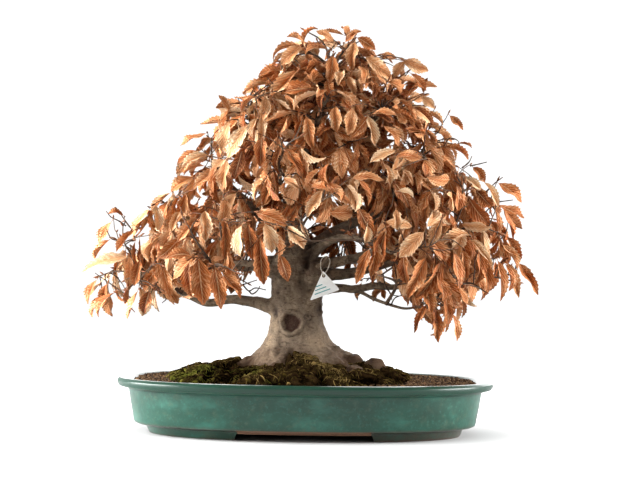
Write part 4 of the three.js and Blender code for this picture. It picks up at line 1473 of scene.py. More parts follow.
@dataclass
class Leaves:
    """Many leaves at once: where each is tied, how it points and how it has dried, a row each."""

    base: Array
    along: Array
    face: Array
    length: Array
    width: Array
    droop: Array
    curl: Array
    fold: Array
    twist: Array
    tone: Array
    seed: Array
    thickness: ClassVar[float] = 0.42

    def chosen(self, keep: Array) -> Leaves:
        """Only the leaves that keep picks."""
        return Leaves(**{key: value[keep] for key, value in vars(self).items()})

    def rows(self, teeth: int = 8) -> Array:
        """The leaves' sections, each of left edge, midrib, right edge and the midrib's underside.

        The midrib starts along the leaf's direction and turns towards the underside by droop times v and
        curl times v cubed. Half the width at v is the width times v to the power 0.6 times (1 - v) to the
        power 1.05. Each half is straight from midrib to edge, as the side veins are, leans up by the fold,
        and runs forward at the veins' slant. Every other row ends in a tooth and lies on a pleat's crest.

        Args:
            teeth: the teeth along each edge.

        Returns:
            Points of shape (n, rows, 4, 3), from the stalk's foot to the tip.
        """
        count = 2 * teeth + 1
        v = np.linspace(0, 1, count)[None, :]
        odd = (np.arange(count) % 2)[None, :]
        col = {k: value[:, None] for k, value in vars(self).items() if value.ndim == 1}
        theta = col["droop"] * v + col["curl"] * v**3
        a0, n0 = self.along[:, None, :], self.face[:, None, :]
        b0 = np.cross(a0, n0)
        ahead = np.cos(theta)[..., None] * a0 - np.sin(theta)[..., None] * n0
        up = np.sin(theta)[..., None] * a0 + np.cos(theta)[..., None] * n0
        stem = 3.5 + 1.5 * np.sin(col["seed"] * 5)
        steps = ahead * (col["length"] / (count - 1))[..., None]
        mid = self.base[:, None] + a0 * stem[..., None] + np.cumsum(steps, axis=1) - steps[:, :1]
        tau = col["twist"] * v
        side = np.cos(tau)[..., None] * b0 + np.sin(tau)[..., None] * up
        lift = np.cos(tau)[..., None] * up - np.sin(tau)[..., None] * b0
        outline = v**0.6 * (1 - v) ** 1.05 / (0.364**0.6 * 0.636**1.05)
        half = col["width"] * outline * np.where(odd == 1, 1.06, 0.91) + 0.2
        wave = 0.22 * np.sin(math.tau * (1.3 * v + col["seed"]))
        wave_right = 0.22 * np.sin(math.tau * (1.3 * v + col["seed"] * 1.7 + 0.3))
        lean = col["fold"] * (0.8 + 0.3 * np.sin(math.pi * v))
        pleat = (odd - 0.5) * 0.7 * outline
        edges = []
        for way, bend in ((-1, lean + wave), (1, lean + wave_right)):
            out = side * (way * half * np.cos(bend))[..., None]
            rise = lift * (half * np.sin(bend) + pleat)[..., None]
            forward = half * 0.7 * (1 - 0.6 * v**2) + odd * 0.4 * outline
            edges.append(mid + out + rise + ahead * forward[..., None])
        under = mid - lift * self.thickness
        blade = np.stack([edges[0], mid, edges[1], under], axis=2)
        foot = self.base[:, None] + np.stack([-b0, n0, b0, -n0], axis=2)[:, 0] * 0.45
        return np.concatenate([foot[:, None], blade], axis=1)

    def shell(self, teeth: int = 8) -> Shell:
        """The leaves as closed four-sided sleeves.

        Args:
            teeth: the teeth along each edge.

        Returns:
            The sleeves, with the numbers along, across, tone and under.
        """
        sections = self.rows(teeth)
        n, rows = sections.shape[:2]
        points = sections.reshape(-1, 3)
        caps = np.array([[3, 2, 1, 0], [4 * rows - 4, 4 * rows - 3, 4 * rows - 2, 4 * rows - 1]])
        quads = np.vstack([grid_quads(rows, 4, True), caps])
        under = np.concatenate([np.tile([0.0, 0.0, 1.0, 1.0], rows - 1), [1.0, 1.0]])
        v = np.concatenate([[0.0], np.linspace(0, 1, rows - 1)])
        base = (np.arange(n) * rows * 4)[:, None, None]
        return Shell(
            points,
            (quads + base).reshape(-1, 4),
            at_points={
                "along": np.tile(np.repeat(v, 4), n),
                "across": np.tile(np.array([1.0, 0.0, 1.0, 0.0]), n * rows),
                "tone": np.repeat(self.tone, rows * 4),
            },
            at_faces={"under": np.tile(under, n)},
        )


# The crown's outline from the front, through the outermost leaf tips: x and z
OUTLINE = np.array(
    [
        (-264, 150), (-270, 187), (-250, 218), (-241, 261), (-191, 277), (-166, 298), (-157, 335),
        (-109, 404),
        (-84, 410), (-63, 437), (-29, 476), (8, 486), (61, 486), (87, 464), (144, 437), (174, 394),
        (190, 350),
        (216, 328), (234, 309), (257, 284), (262, 250), (270, 215), (276, 172), (255, 169), (232, 161),
        (193, 154),
        (176, 115), (163, 115), (138, 125), (115, 160), (104, 178), (70, 190), (44, 206), (24, 216),
        (-20, 218), (-44, 208),
        (-60, 180), (-74, 158), (-109, 157), (-150, 148), (-170, 138), (-215, 135), (-245, 131),
    ],
    float,
)


# Leaves placed one by one: base and tip in the picture, seen width, turn in degrees, tone in hundredths
PLACED = (
    (128, 258, 83, 272, 10, 50, 88), (98, 279, 89, 303, 8, 55, 50), (108, 283, 103, 304, 12, 20, 50),
    (101, 296, 93, 317, 6, 50, 62), (116, 293, 99, 318, 8, 45, 36), (138, 290, 128, 317, 8, 60, 62),
    (141, 290, 142, 319, 12, 35, 95), (150, 290, 144, 313, 14, 10, 8), (112, 221, 100, 243, 9, 40, 62),
    (110, 240, 95, 260, 6, 60, 58), (133, 232, 116, 252, 12, 20, 58), (155, 207, 158, 232, 10, 25, 96),
    (153, 238, 149, 262, 9, 55, 72), (140, 262, 134, 287, 12, 20, 36), (122, 216, 106, 214, 7, 50, 40),
    (163, 268, 170, 298, 11, 20, 50), (198, 258, 203, 304, 20, 5, 34), (190, 262, 193, 297, 12, -25, 24),
    (215, 268, 221, 309, 14, 10, 34), (222, 272, 240, 298, 13, 20, 40), (198, 219, 177, 243, 12, 20, 62),
    (192, 256, 168, 259, 9, 45, 30), (180, 213, 171, 233, 9, 20, 84), (205, 210, 206, 241, 16, 10, 86),
    (225, 200, 222, 226, 12, -20, 60), (224, 222, 224, 261, 12, 20, 34), (243, 226, 241, 258, 9, 40, 96),
    (248, 224, 252, 258, 14, 0, 22), (265, 225, 272, 254, 13, 20, 86), (260, 240, 264, 287, 17, 5, 24),
    (272, 228, 278, 262, 8, 45, 56), (280, 255, 288, 281, 10, 10, 24), (288, 226, 304, 249, 15, 10, 90),
    (300, 222, 303, 246, 7, 50, 84), (257, 213, 288, 226, 15, 20, 45), (396, 211, 397, 231, 14, 5, 76),
    (367, 226, 364, 244, 12, -10, 86), (369, 250, 356, 284, 11, 20, 45), (374, 240, 370, 279, 10, -30, 46),
    (386, 230, 373, 281, 17, 5, 24), (423, 233, 399, 258, 15, 10, 76), (426, 257, 408, 297, 16, 10, 46),
    (440, 262, 413, 300, 15, -20, 28), (441, 220, 430, 246, 11, 20, 62), (471, 236, 441, 247, 11, 30, 74),
    (470, 240, 492, 268, 9, 35, 88), (453, 252, 459, 289, 9, 40, 36), (462, 250, 465, 281, 12, 10, 50),
    (478, 252, 474, 285, 10, -20, 34), (484, 258, 488, 294, 12, 10, 44), (497, 260, 500, 300, 10, 30, 62),
    (504, 264, 508, 291, 8, 45, 54), (507, 262, 518, 296, 10, 20, 66), (506, 237, 519, 262, 14, 15, 34),
    (503, 246, 518, 270, 10, 35, 74), (519, 264, 538, 295, 12, 15, 46), (499, 184, 522, 203, 11, 35, 45),
    (499, 205, 524, 218, 9, 50, 40), (426, 305, 415, 332, 8, 30, 34), (431, 305, 431, 329, 6, 50, 2),
    (435, 308, 438, 341, 11, 15, 44), (446, 300, 448, 328, 9, 20, 34), (451, 313, 456, 340, 7, 45, 62),
    (436, 276, 443, 302, 9, 30, 34), (441, 277, 460, 304, 9, 40, 28), (452, 286, 466, 304, 7, 50, 50),
    (425, 288, 431, 312, 12, 10, 42), (472, 167, 484, 182, 12, 20, 50), (446, 148, 470, 161, 8, 40, 40),
    (457, 145, 471, 149, 4, 70, 30), (450, 116, 463, 130, 8, 30, 50), (452, 170, 446, 192, 12, 10, 50),
    (465, 178, 480, 190, 9, 20, 92), (483, 182, 497, 208, 8, 40, 92), (476, 190, 492, 207, 12, 0, 24),
    (336, 105, 337, 131, 16, 0, 62), (352, 109, 348, 135, 16, 0, 62), (368, 117, 375, 147, 12, 20, 92),
    (384, 127, 399, 147, 8, 35, 56), (396, 151, 370, 163, 10, 25, 88), (396, 157, 420, 160, 11, 20, 50),
    (383, 163, 389, 185, 7, 45, 76), (402, 170, 412, 186, 6, 50, 70), (397, 192, 413, 198, 6, 60, 98),
    (262, 138, 260, 167, 18, 0, 30), (258, 118, 254, 138, 8, 40, 86), (246, 127, 227, 160, 14, 10, 88),
    (229, 123, 222, 151, 12, 20, 82), (242, 150, 234, 178, 12, 0, 12), (306, 117, 312, 149, 12, 15, 50),
    (301, 122, 292, 148, 12, 10, 38), (287, 150, 302, 178, 11, 20, 34), (283, 178, 299, 188, 11, 10, 72),
    (237, 193, 222, 212, 16, 10, 72), (205, 134, 180, 146, 8, 45, 50), (199, 151, 179, 163, 7, 60, 34),
    (210, 156, 183, 167, 10, 30, 88), (203, 167, 182, 176, 6, 60, 50), (193, 178, 170, 192, 12, 30, 50),
    (241, 113, 255, 98, 6, 50, 34), (230, 110, 219, 96, 7, 30, 62), (268, 85, 242, 94, 6, 55, 54),
    (298, 70, 271, 99, 18, 5, 66), (281, 71, 258, 75, 6, 50, 40), (300, 47, 280, 66, 12, 20, 66),
    (304, 43, 286, 37, 4, 65, 40), (333, 42, 316, 31, 8, 20, 62), (346, 42, 362, 31, 9, 20, 54),
    (357, 38, 375, 50, 10, 20, 38), (355, 42, 352, 70, 14, 5, 66), (333, 55, 330, 82, 15, 5, 48),
    (365, 57, 392, 82, 13, 10, 72), (396, 58, 380, 57, 11, 20, 56), (403, 61, 428, 71, 17, 5, 78),
    (404, 62, 394, 78, 11, 10, 70), (410, 73, 425, 90, 9, 30, 34), (424, 92, 428, 77, 5, 50, 50),
    (348, 77, 354, 97, 12, 10, 70), (421, 97, 434, 108, 11, 10, 82),
)


# The same for leaves behind the trunk and its branches
PLACED_BEHIND = (
    (346, 258, 334, 268, 9, 20, 40), (352, 262, 346, 272, 8, 30, 30), (338, 238, 329, 254, 9, 20, 24),
    (352, 232, 341, 247, 10, 10, 36), (362, 258, 371, 274, 9, 20, 46), (333, 214, 340, 232, 10, 10, 20),
    (236, 260, 245, 272, 8, 20, 50), (312, 232, 305, 250, 10, 10, 16), (326, 228, 318, 246, 9, 20, 22),
    (345, 236, 352, 256, 9, 20, 18), (256, 262, 250, 276, 8, 30, 40), (362, 282, 358, 299, 7, 30, 62),
    (380, 288, 373, 302, 8, 30, 66), (379, 286, 384, 298, 7, 20, 60), (333, 238, 321, 257, 11, 10, 30),
    (325, 232, 327, 254, 10, 20, 18), (338, 248, 327, 265, 9, 10, 44),
)


def inside(x: Array, z: Array, outline: Array) -> Array:
    """Whether places lie inside an outline: an upward ray from them crosses its sides an odd number of times.

    Args:
        x: their first coordinates.
        z: their second coordinates.
        outline: the outline's corners, shape (n, 2).

    Returns:
        True for each place inside.
    """
    a, b = outline, np.roll(outline, -1, axis=0)
    x, z = x[..., None], z[..., None]
    spans = (a[:, 0] > x) != (b[:, 0] > x)
    run = np.where(b[:, 0] == a[:, 0], 1e-9, b[:, 0] - a[:, 0])
    rise = (b[:, 1] - a[:, 1]) * (x - a[:, 0]) / run + a[:, 1]
    return (spans & (rise > z)).sum(axis=-1) % 2 == 1


@dataclass
class Crown:
    """Twiglets spread through the crown, each tied to the nearest twig or branch, and the leaves on them."""

    finishes: dict[Finish, Material]
    view: ViewPoint
    routes: list[Route]
    ends: int = 430
    seed: int = 7
    heights: tuple[float, ...] = (120, 150, 184, 232, 286, 338, 390, 434, 478, 492)
    left: tuple[float, ...] = (-230, -246, -252, -240, -176, -146, -104, -60, -22, -10)
    right: tuple[float, ...] = (176, 240, 258, 252, 242, 188, 162, 118, 58, 40)
    depth: tuple[float, ...] = (120, 150, 172, 166, 142, 114, 82, 52, 24, 12)

    def fullness(self, p: Array) -> Array:
        """How far out places lie in the crown, which is an oval at each height.

        Args:
            p: places in millimetres, shape (..., 3).

        Returns:
            0 on the crown's axis and 1 on its skin.
        """
        low = np.interp(p[..., 2], self.heights, self.left)
        high = np.interp(p[..., 2], self.heights, self.right)
        deep = np.interp(p[..., 2], self.heights, self.depth)
        return ((p[..., 0] - (low + high) / 2) / ((high - low) / 2)) ** 2 + (p[..., 1] / deep) ** 2

    def seen_inside(self, p: Array) -> Array:
        """Whether places appear inside the outline from the camera."""
        flat = self.view.flattened(p)
        return inside(flat[..., 0], flat[..., 1], OUTLINE)

    def outward(self, p: Array) -> Array:
        """The direction out of the crown at places: away from its axis, and upwards near its top.

        Args:
            p: places in millimetres, shape (n, 3).

        Returns:
            Directions of length 1.
        """
        low, high = (np.interp(p[:, 2], self.heights, row) for row in (self.left, self.right))
        middle = (low + high) / 2
        lift = np.interp(p[:, 2], [150, 280, 400, 490], [-20, 10, 60, 140])
        return unit(np.column_stack([p[:, 0] - middle * 0.6, p[:, 1], lift]))

    def twiglet_ends(self) -> Array:
        """Evenly scattered places in the crown: from many tries, the one farthest from all chosen so far.

        Returns:
            The places where twiglets end.
        """
        draw = np.random.default_rng(self.seed)
        p = draw.uniform([-275, -175, 130], [280, 175, 488], (60000, 3))
        full = self.fullness(p)
        keep = (full < np.where(p[:, 1] < -20, 0.82, 0.93)) & ((full > 0.35) | (draw.random(len(p)) < 0.3))
        hanging = np.interp(p[:, 2], [380, 470], [27, 8])[:, None] * np.array([0, 0, -1.0])
        for step in (hanging, np.array([0, 0, 6]), np.array([-9, 0, 0]), np.array([9, 0, 0])):
            keep &= self.seen_inside(p + step)
        keep &= (np.hypot(p[:, 0] + 12, p[:, 1] - 5) > 48) | (p[:, 2] > 262)
        p = p[keep][:9000]
        chosen = [p[0]]
        crowd = 1 + 0.7 * ease(330, 450, p[:, 2])
        gap = np.linalg.norm(p - p[0], axis=1)
        for _ in range(self.ends - 1):
            best = int(np.argmax(gap))
            chosen.append(p[best])
            gap = np.minimum(gap, crowd * np.linalg.norm((p - p[best]) * np.array([1.0, 0.9, 1.1]), axis=1))
        return np.array(chosen)

    def anchors(self) -> tuple[Array, Array, Array]:
        """Places that a twiglet can start from, on the twigs and on the branches.

        Returns:
            The places, the group that each belongs to, and the wood's radius there.
        """
        places, groups, radii = [], [], []
        for i, route in enumerate(self.routes):
            line = route.points[max(4, route.cut // 2) :: 3]
            places.append(line)
            groups.append(np.full(len(line), i))
            radii.append(np.full(len(line), 1.3))
        for j, limb in enumerate(LIMBS.values()):
            if limb is LIMBS["tag_spur"]:
                continue
            line, radius = limb.path(5.0, 0.45, 1.0)
            places.append(line)
            groups.append(np.full(len(line), len(self.routes) + j))
            radii.append(radius)
        return np.vstack(places), np.concatenate(groups), np.concatenate(radii)

    def placed_leaves(self) -> Leaves:
        """The leaves of the table, on the crown's front skin or, outside it, in the middle plane.

        Each starts tilted back by half its droop and a quarter of its curl, so that its tip ends where it
        should.

        Returns:
            The placed leaves.
        """
        draw = np.random.default_rng(self.seed + 4)
        table = np.array(PLACED + PLACED_BEHIND, float)
        flat = self.view.placed(table[:, :2], np.zeros(len(table)))
        spans = (self.left, self.right, self.depth)
        left, right, deep = (np.interp(flat[:, 2], self.heights, row) for row in spans)
        away = (flat[:, 0] - (left + right) / 2) / ((right - left) / 2)
        y = -deep * np.sqrt(np.clip(0.95 - away**2, 0, 1)) + draw.normal(0, 4, len(table))
        y[len(PLACED) :] = 34 + draw.normal(0, 8, len(PLACED_BEHIND))
        base, tip = self.view.placed(table[:, :2], y), self.view.placed(table[:, 2:4], y - 3)
        run = tip - base
        length = np.linalg.norm(run, axis=1)
        a = run / length[:, None]
        side = unit(np.cross(a, np.array([0.0, 1.0, 0.0])))
        side = side * np.where(side[:, 2:] < 0, -1, 1)
        turn = np.radians(table[:, 5] + draw.normal(0, 8, len(table)))[:, None]
        n = unit(np.cos(turn) * np.cross(side, a) * np.sign(-np.cross(side, a)[:, 1:2]) + np.sin(turn) * side)
        droop, curl = draw.normal(0.45, 0.2, len(table)), draw.normal(0.2, 0.25, len(table))
        tilt = (droop / 2 + curl / 4)[:, None]
        seen = table[:, 4] * 0.7 / np.maximum(np.cos(turn[:, 0]), 0.4)
        return Leaves(
            base=base - a * 3.5,
            along=np.cos(tilt) * a + np.sin(tilt) * n,
            face=np.cos(tilt) * n - np.sin(tilt) * a,
            length=length * 1.03,
            width=np.clip(seen, 0.18 * length, 0.3 * length),
            droop=droop,
            curl=curl,
            fold=np.clip(draw.normal(0.62, 0.18, len(table)), 0.15, 1.1),
            twist=draw.normal(0, 0.2, len(table)),
            tone=0.02 + table[:, 6] * 0.0086,
            seed=draw.random(len(table)),
        )

    def hidden_by(self, middle: Array, tip: Array, placed: Leaves) -> Array:
        """Which leaves would stand in front of a placed one: nearer, and less than 9 mm off its midrib.

        Args:
            middle: the leaves' middles.
            tip: their tips.
            placed: the placed leaves.

        Returns:
            True for each leaf that would.
        """
        start = self.view.flattened(placed.base)
        rib = self.view.flattened(placed.base + placed.along * placed.length[:, None]) - start
        hit = np.zeros(len(middle), bool)
        for spot in (middle, tip, (middle + tip) / 2):
            off = self.view.flattened(spot)[:, None] - start[None]
            t = np.clip((off * rib[None]).sum(-1) / (rib**2).sum(-1)[None], 0, 1)
            gap = np.linalg.norm(off - t[..., None] * rib[None], axis=-1)
            hit |= ((gap < 9) & (spot[:, None, 1] < placed.base[None, :, 1] + 9)).any(axis=1)
        return hit

    def twiglets(self) -> tuple[Array, Array, Array]:
        """Curved twiglets from their anchors to their ends.

        Each is a bow, (1-t)^2 A + 2t(1-t) B + t^2 E, with a zigzag of a few per cent of its length on it.

        Returns:
            Paths of shape (m, 10, 3), their groups and their starting radii.
        """
        draw = np.random.default_rng(self.seed + 1)
        ends = np.vstack([self.twiglet_ends(), self.placed_leaves().base])
        places, groups, radii = self.anchors()
        gap = np.linalg.norm((ends[:, None] - places[None]) * np.array([1, 0.6, 1]), axis=2)
        cost = gap + 0.7 * np.maximum(0, places[None, :, 2] - ends[:, None, 2] + 6) + 60 * (gap < 14)
        cost += 0.6 * np.maximum(0, self.fullness(places)[None] - self.fullness(ends)[:, None]) * 60
        best = cost.argmin(axis=1)
        start = places[best]
        reach = np.linalg.norm(ends - start, axis=1)[:, None]
        sway = draw.normal(size=ends.shape) * 0.1 * reach
        bow = start + 0.5 * (ends - start) + np.array([0, 0, 0.1]) * reach + sway
        t = np.linspace(0, 1, 10)[None, :, None]
        paths = (1 - t) ** 2 * start[:, None] + 2 * t * (1 - t) * bow[:, None] + t**2 * ends[:, None]
        zigzag = np.sin(np.arange(10) * math.pi / 2 + 0.6)[None, :, None]
        kink = unit(draw.normal(size=ends.shape))[:, None] * zigzag
        paths = paths + kink * 0.022 * reach[:, None] * np.sin(math.pi * t)
        return paths, groups[best], np.minimum(radii[best] * 0.7, 1.15)

    def hang(self, paths: Array, groups: Array) -> tuple[Leaves, Array]:
        """Leaves in turn on both sides of each twiglet, the lower ones hanging and the top ones spreading.

        Args:
            paths: the twiglets, those of the placed leaves last.
            groups: the group of each.

        Returns:
            The leaves and the group of each.
        """
        draw = np.random.default_rng(self.seed + 2)
        placed = self.placed_leaves()
        owners = groups[-len(placed.base) :]
        paths, groups = paths[: -len(placed.base)], groups[: -len(placed.base)]
        m = len(paths)
        shares = np.array([0.3, 0.46, 0.62, 0.76, 0.89, 1.0])
        at = shares * 9
        low = np.minimum(at.astype(int), 8)
        base = paths[:, low] + (paths[:, low + 1] - paths[:, low]) * (at - low)[None, :, None]
        slope = unit(paths[:, low + 1] - paths[:, low])
        side = unit(np.cross(slope, np.array([0.0, 0.0, 1.0])) + 1e-6)
        turns = np.array([1, -1, 1, -1, 1, -0.15])[None, :, None]
        way = turns * np.where(draw.random((m, 1, 1)) < 0.5, 1, -1)
        base, slope, side = base.reshape(-1, 3), slope.reshape(-1, 3), (side * way).reshape(-1, 3)
        n = len(base)
        out = self.outward(base)
        weight = np.interp(base[:, 2], [150, 250, 350, 430, 480], [1.9, 1.7, 1.1, 0.55, 0.0])
        down = weight * draw.uniform(0.5, 1.5, n)
        down = np.where(draw.random(n) < 0.08, down * 0.15, down)
        stray = 0.3 * draw.normal(size=(n, 3))
        along = unit(0.45 * slope + 0.55 * side + 0.35 * out + stray + down[:, None] * [0, 0, -1])
        face = 0.8 * out + np.array([0, 0, 0.6]) + 0.75 * draw.normal(size=(n, 3))
        face = unit(face - (face * along).sum(axis=1, keepdims=True) * along)
        length = np.clip(draw.normal(38, 5.0, n), 25, 49) * np.interp(base[:, 2], [200, 480], [1.03, 0.88])
        inner = np.clip(self.fullness(base), 0, 1)
        leaves = Leaves(
            base=base,
            along=along,
            face=face,
            length=length,
            width=length * draw.uniform(0.185, 0.245, n),
            droop=draw.normal(0.3, 0.3, n),
            curl=draw.normal(0.3, 0.45, n),
            fold=np.clip(draw.normal(0.55, 0.25, n), 0.05, 1.2),
            twist=draw.normal(0, 0.35, n),
            # painted light and shade: leaves deep in the crown are darker, and those to the left lighter
            tone=np.clip(draw.normal(0.28, 0.18, n) + 0.26 * inner - 0.0003 * base[:, 0], 0.02, 0.98),
            seed=draw.random(n),
        )
        rows = leaves.rows(2)
        middle, tip = rows[:, 3, 1], rows[:, -1, 1]
        keep = self.seen_inside(tip) & self.seen_inside(middle) & self.seen_inside(base)
        near_trunk = (np.hypot(tip[:, 0] + 12, tip[:, 1] - 5) < 34) & (tip[:, 2] < 205)
        keep &= ~near_trunk & (np.abs(tip[:, 1]) < 203) & (np.abs(middle[:, 1]) < 203)
        keep &= draw.random(n) < np.where(np.tile(shares, m) < 0.4, 0.5, 0.92)
        keep &= self.seen_inside(tip + np.array([0, 0, -24.0])) | (draw.random(n) < 0.3)
        keep &= ~self.hidden_by(middle, tip, placed)
        chosen = leaves.chosen(keep)
        both = {key: np.concatenate([value, getattr(placed, key)]) for key, value in vars(chosen).items()}
        return Leaves(**both), np.concatenate([np.repeat(groups, 6)[keep], owners])

    def buds(self, paths: Array) -> Shell:
        """A long pointed bud at each twiglet's end and some in the crooks, spindles of five rings.

        Args:
            paths: the twiglets.

        Returns:
            The buds.
        """
        draw = np.random.default_rng(self.seed + 3)
        tips = np.vstack([paths[:, 9], paths[:, 5], paths[:, 3]])
        slopes = unit(np.vstack([paths[:, k + 1] - paths[:, k] for k in (8, 5, 3)]))
        lean = np.repeat([0.15, 0.75, 0.75], len(paths))[:, None]
        slopes = unit(slopes + lean * draw.normal(size=slopes.shape) * 0.8)
        long = draw.uniform(5.5, 9.5, len(tips))[:, None, None]
        t = np.linspace(0, 1, 5)[None, :, None]
        line = tips[:, None] + slopes[:, None] * t * long
        radius = np.array([0.55, 1.0, 1.15, 0.7, 0.1])[None, :] * draw.uniform(0.85, 1.15, (len(tips), 1))
        return tubes(line, radius, 5)

    def twig(self, route: Route) -> list[Shell]:
        """A leafy twig's own stick, and the bud at its end.

        Args:
            route: the twig's route.

        Returns:
            The stick and the bud.
        """
        line = smooth_path(route.points[route.cut :], 14)
        spindle = line[-1] + unit(line[-1] - line[-2]) * np.linspace(0, 8, 5)[:, None]
        bud = tubes(spindle[None], np.array([[0.7, 1.1, 1.2, 0.7, 0.1]]), 5)
        return [tubes(line[None], np.linspace(1.5, 0.75, 14)[None], 7), bud]

    def build(self) -> None:
        """Builds each group's twigs and leaves as two pieces; a leafy twig's pieces stand for its node."""
        paths, groups, radii = self.twiglets()
        leaves, owner = self.hang(paths, groups)
        log.info("crown: %d twiglets, %d leaves", len(paths), len(leaves.base))
        names = [route.name for route in self.routes] + [f"inner_twigs_{limb}" for limb in LIMBS]
        for group, name in enumerate(names):
            mine, nodes, parts = groups == group, (), []
            if group < len(self.routes):
                nodes, parts = (name,), self.twig(self.routes[group])
            if mine.any():
                taper = radii[mine][:, None] * np.linspace(1, 0.5, 10)
                parts += [tubes(paths[mine], taper, 5), self.buds(paths[mine])]
            if not parts:
                continue
            shell = Shell.joined(parts)
            bud = [np.full(len(part.points), float(k % 2)) for k, part in enumerate(parts)]
            shell.at_points["bud"] = np.concatenate(bud)
            finish_piece(put_down(f"{name}_wood", shell), self.finishes[Finish.TWIG], nodes)
            if (owner == group).any():
                blades = put_down(f"{name}_leaves", leaves.chosen(owner == group).shell())
                blades.data.set_sharp_from_angle(angle=math.radians(58))
                finish_piece(blades, self.finishes[Finish.LEAF], nodes)


# The pot

PLAN_POWER = 2.4


def oval_plan(turn: Array) -> tuple[Array, Array]:
    """An oval with fuller shoulders: cosine and sine, each raised to 2 / PLAN_POWER with its sign kept."""
    c, s = np.cos(turn), np.sin(turn)
    return np.sign(c) * np.abs(c) ** (2 / PLAN_POWER), np.sign(s) * np.abs(s) ** (2 / PLAN_POWER)


def oval_share(x: Array, y: Array) -> Array:
    """How far out places lie in that oval, 1 at its edge: the root of the sum of powers."""
    return (np.abs(x) ** PLAN_POWER + np.abs(y) ** PLAN_POWER) ** (1 / PLAN_POWER)


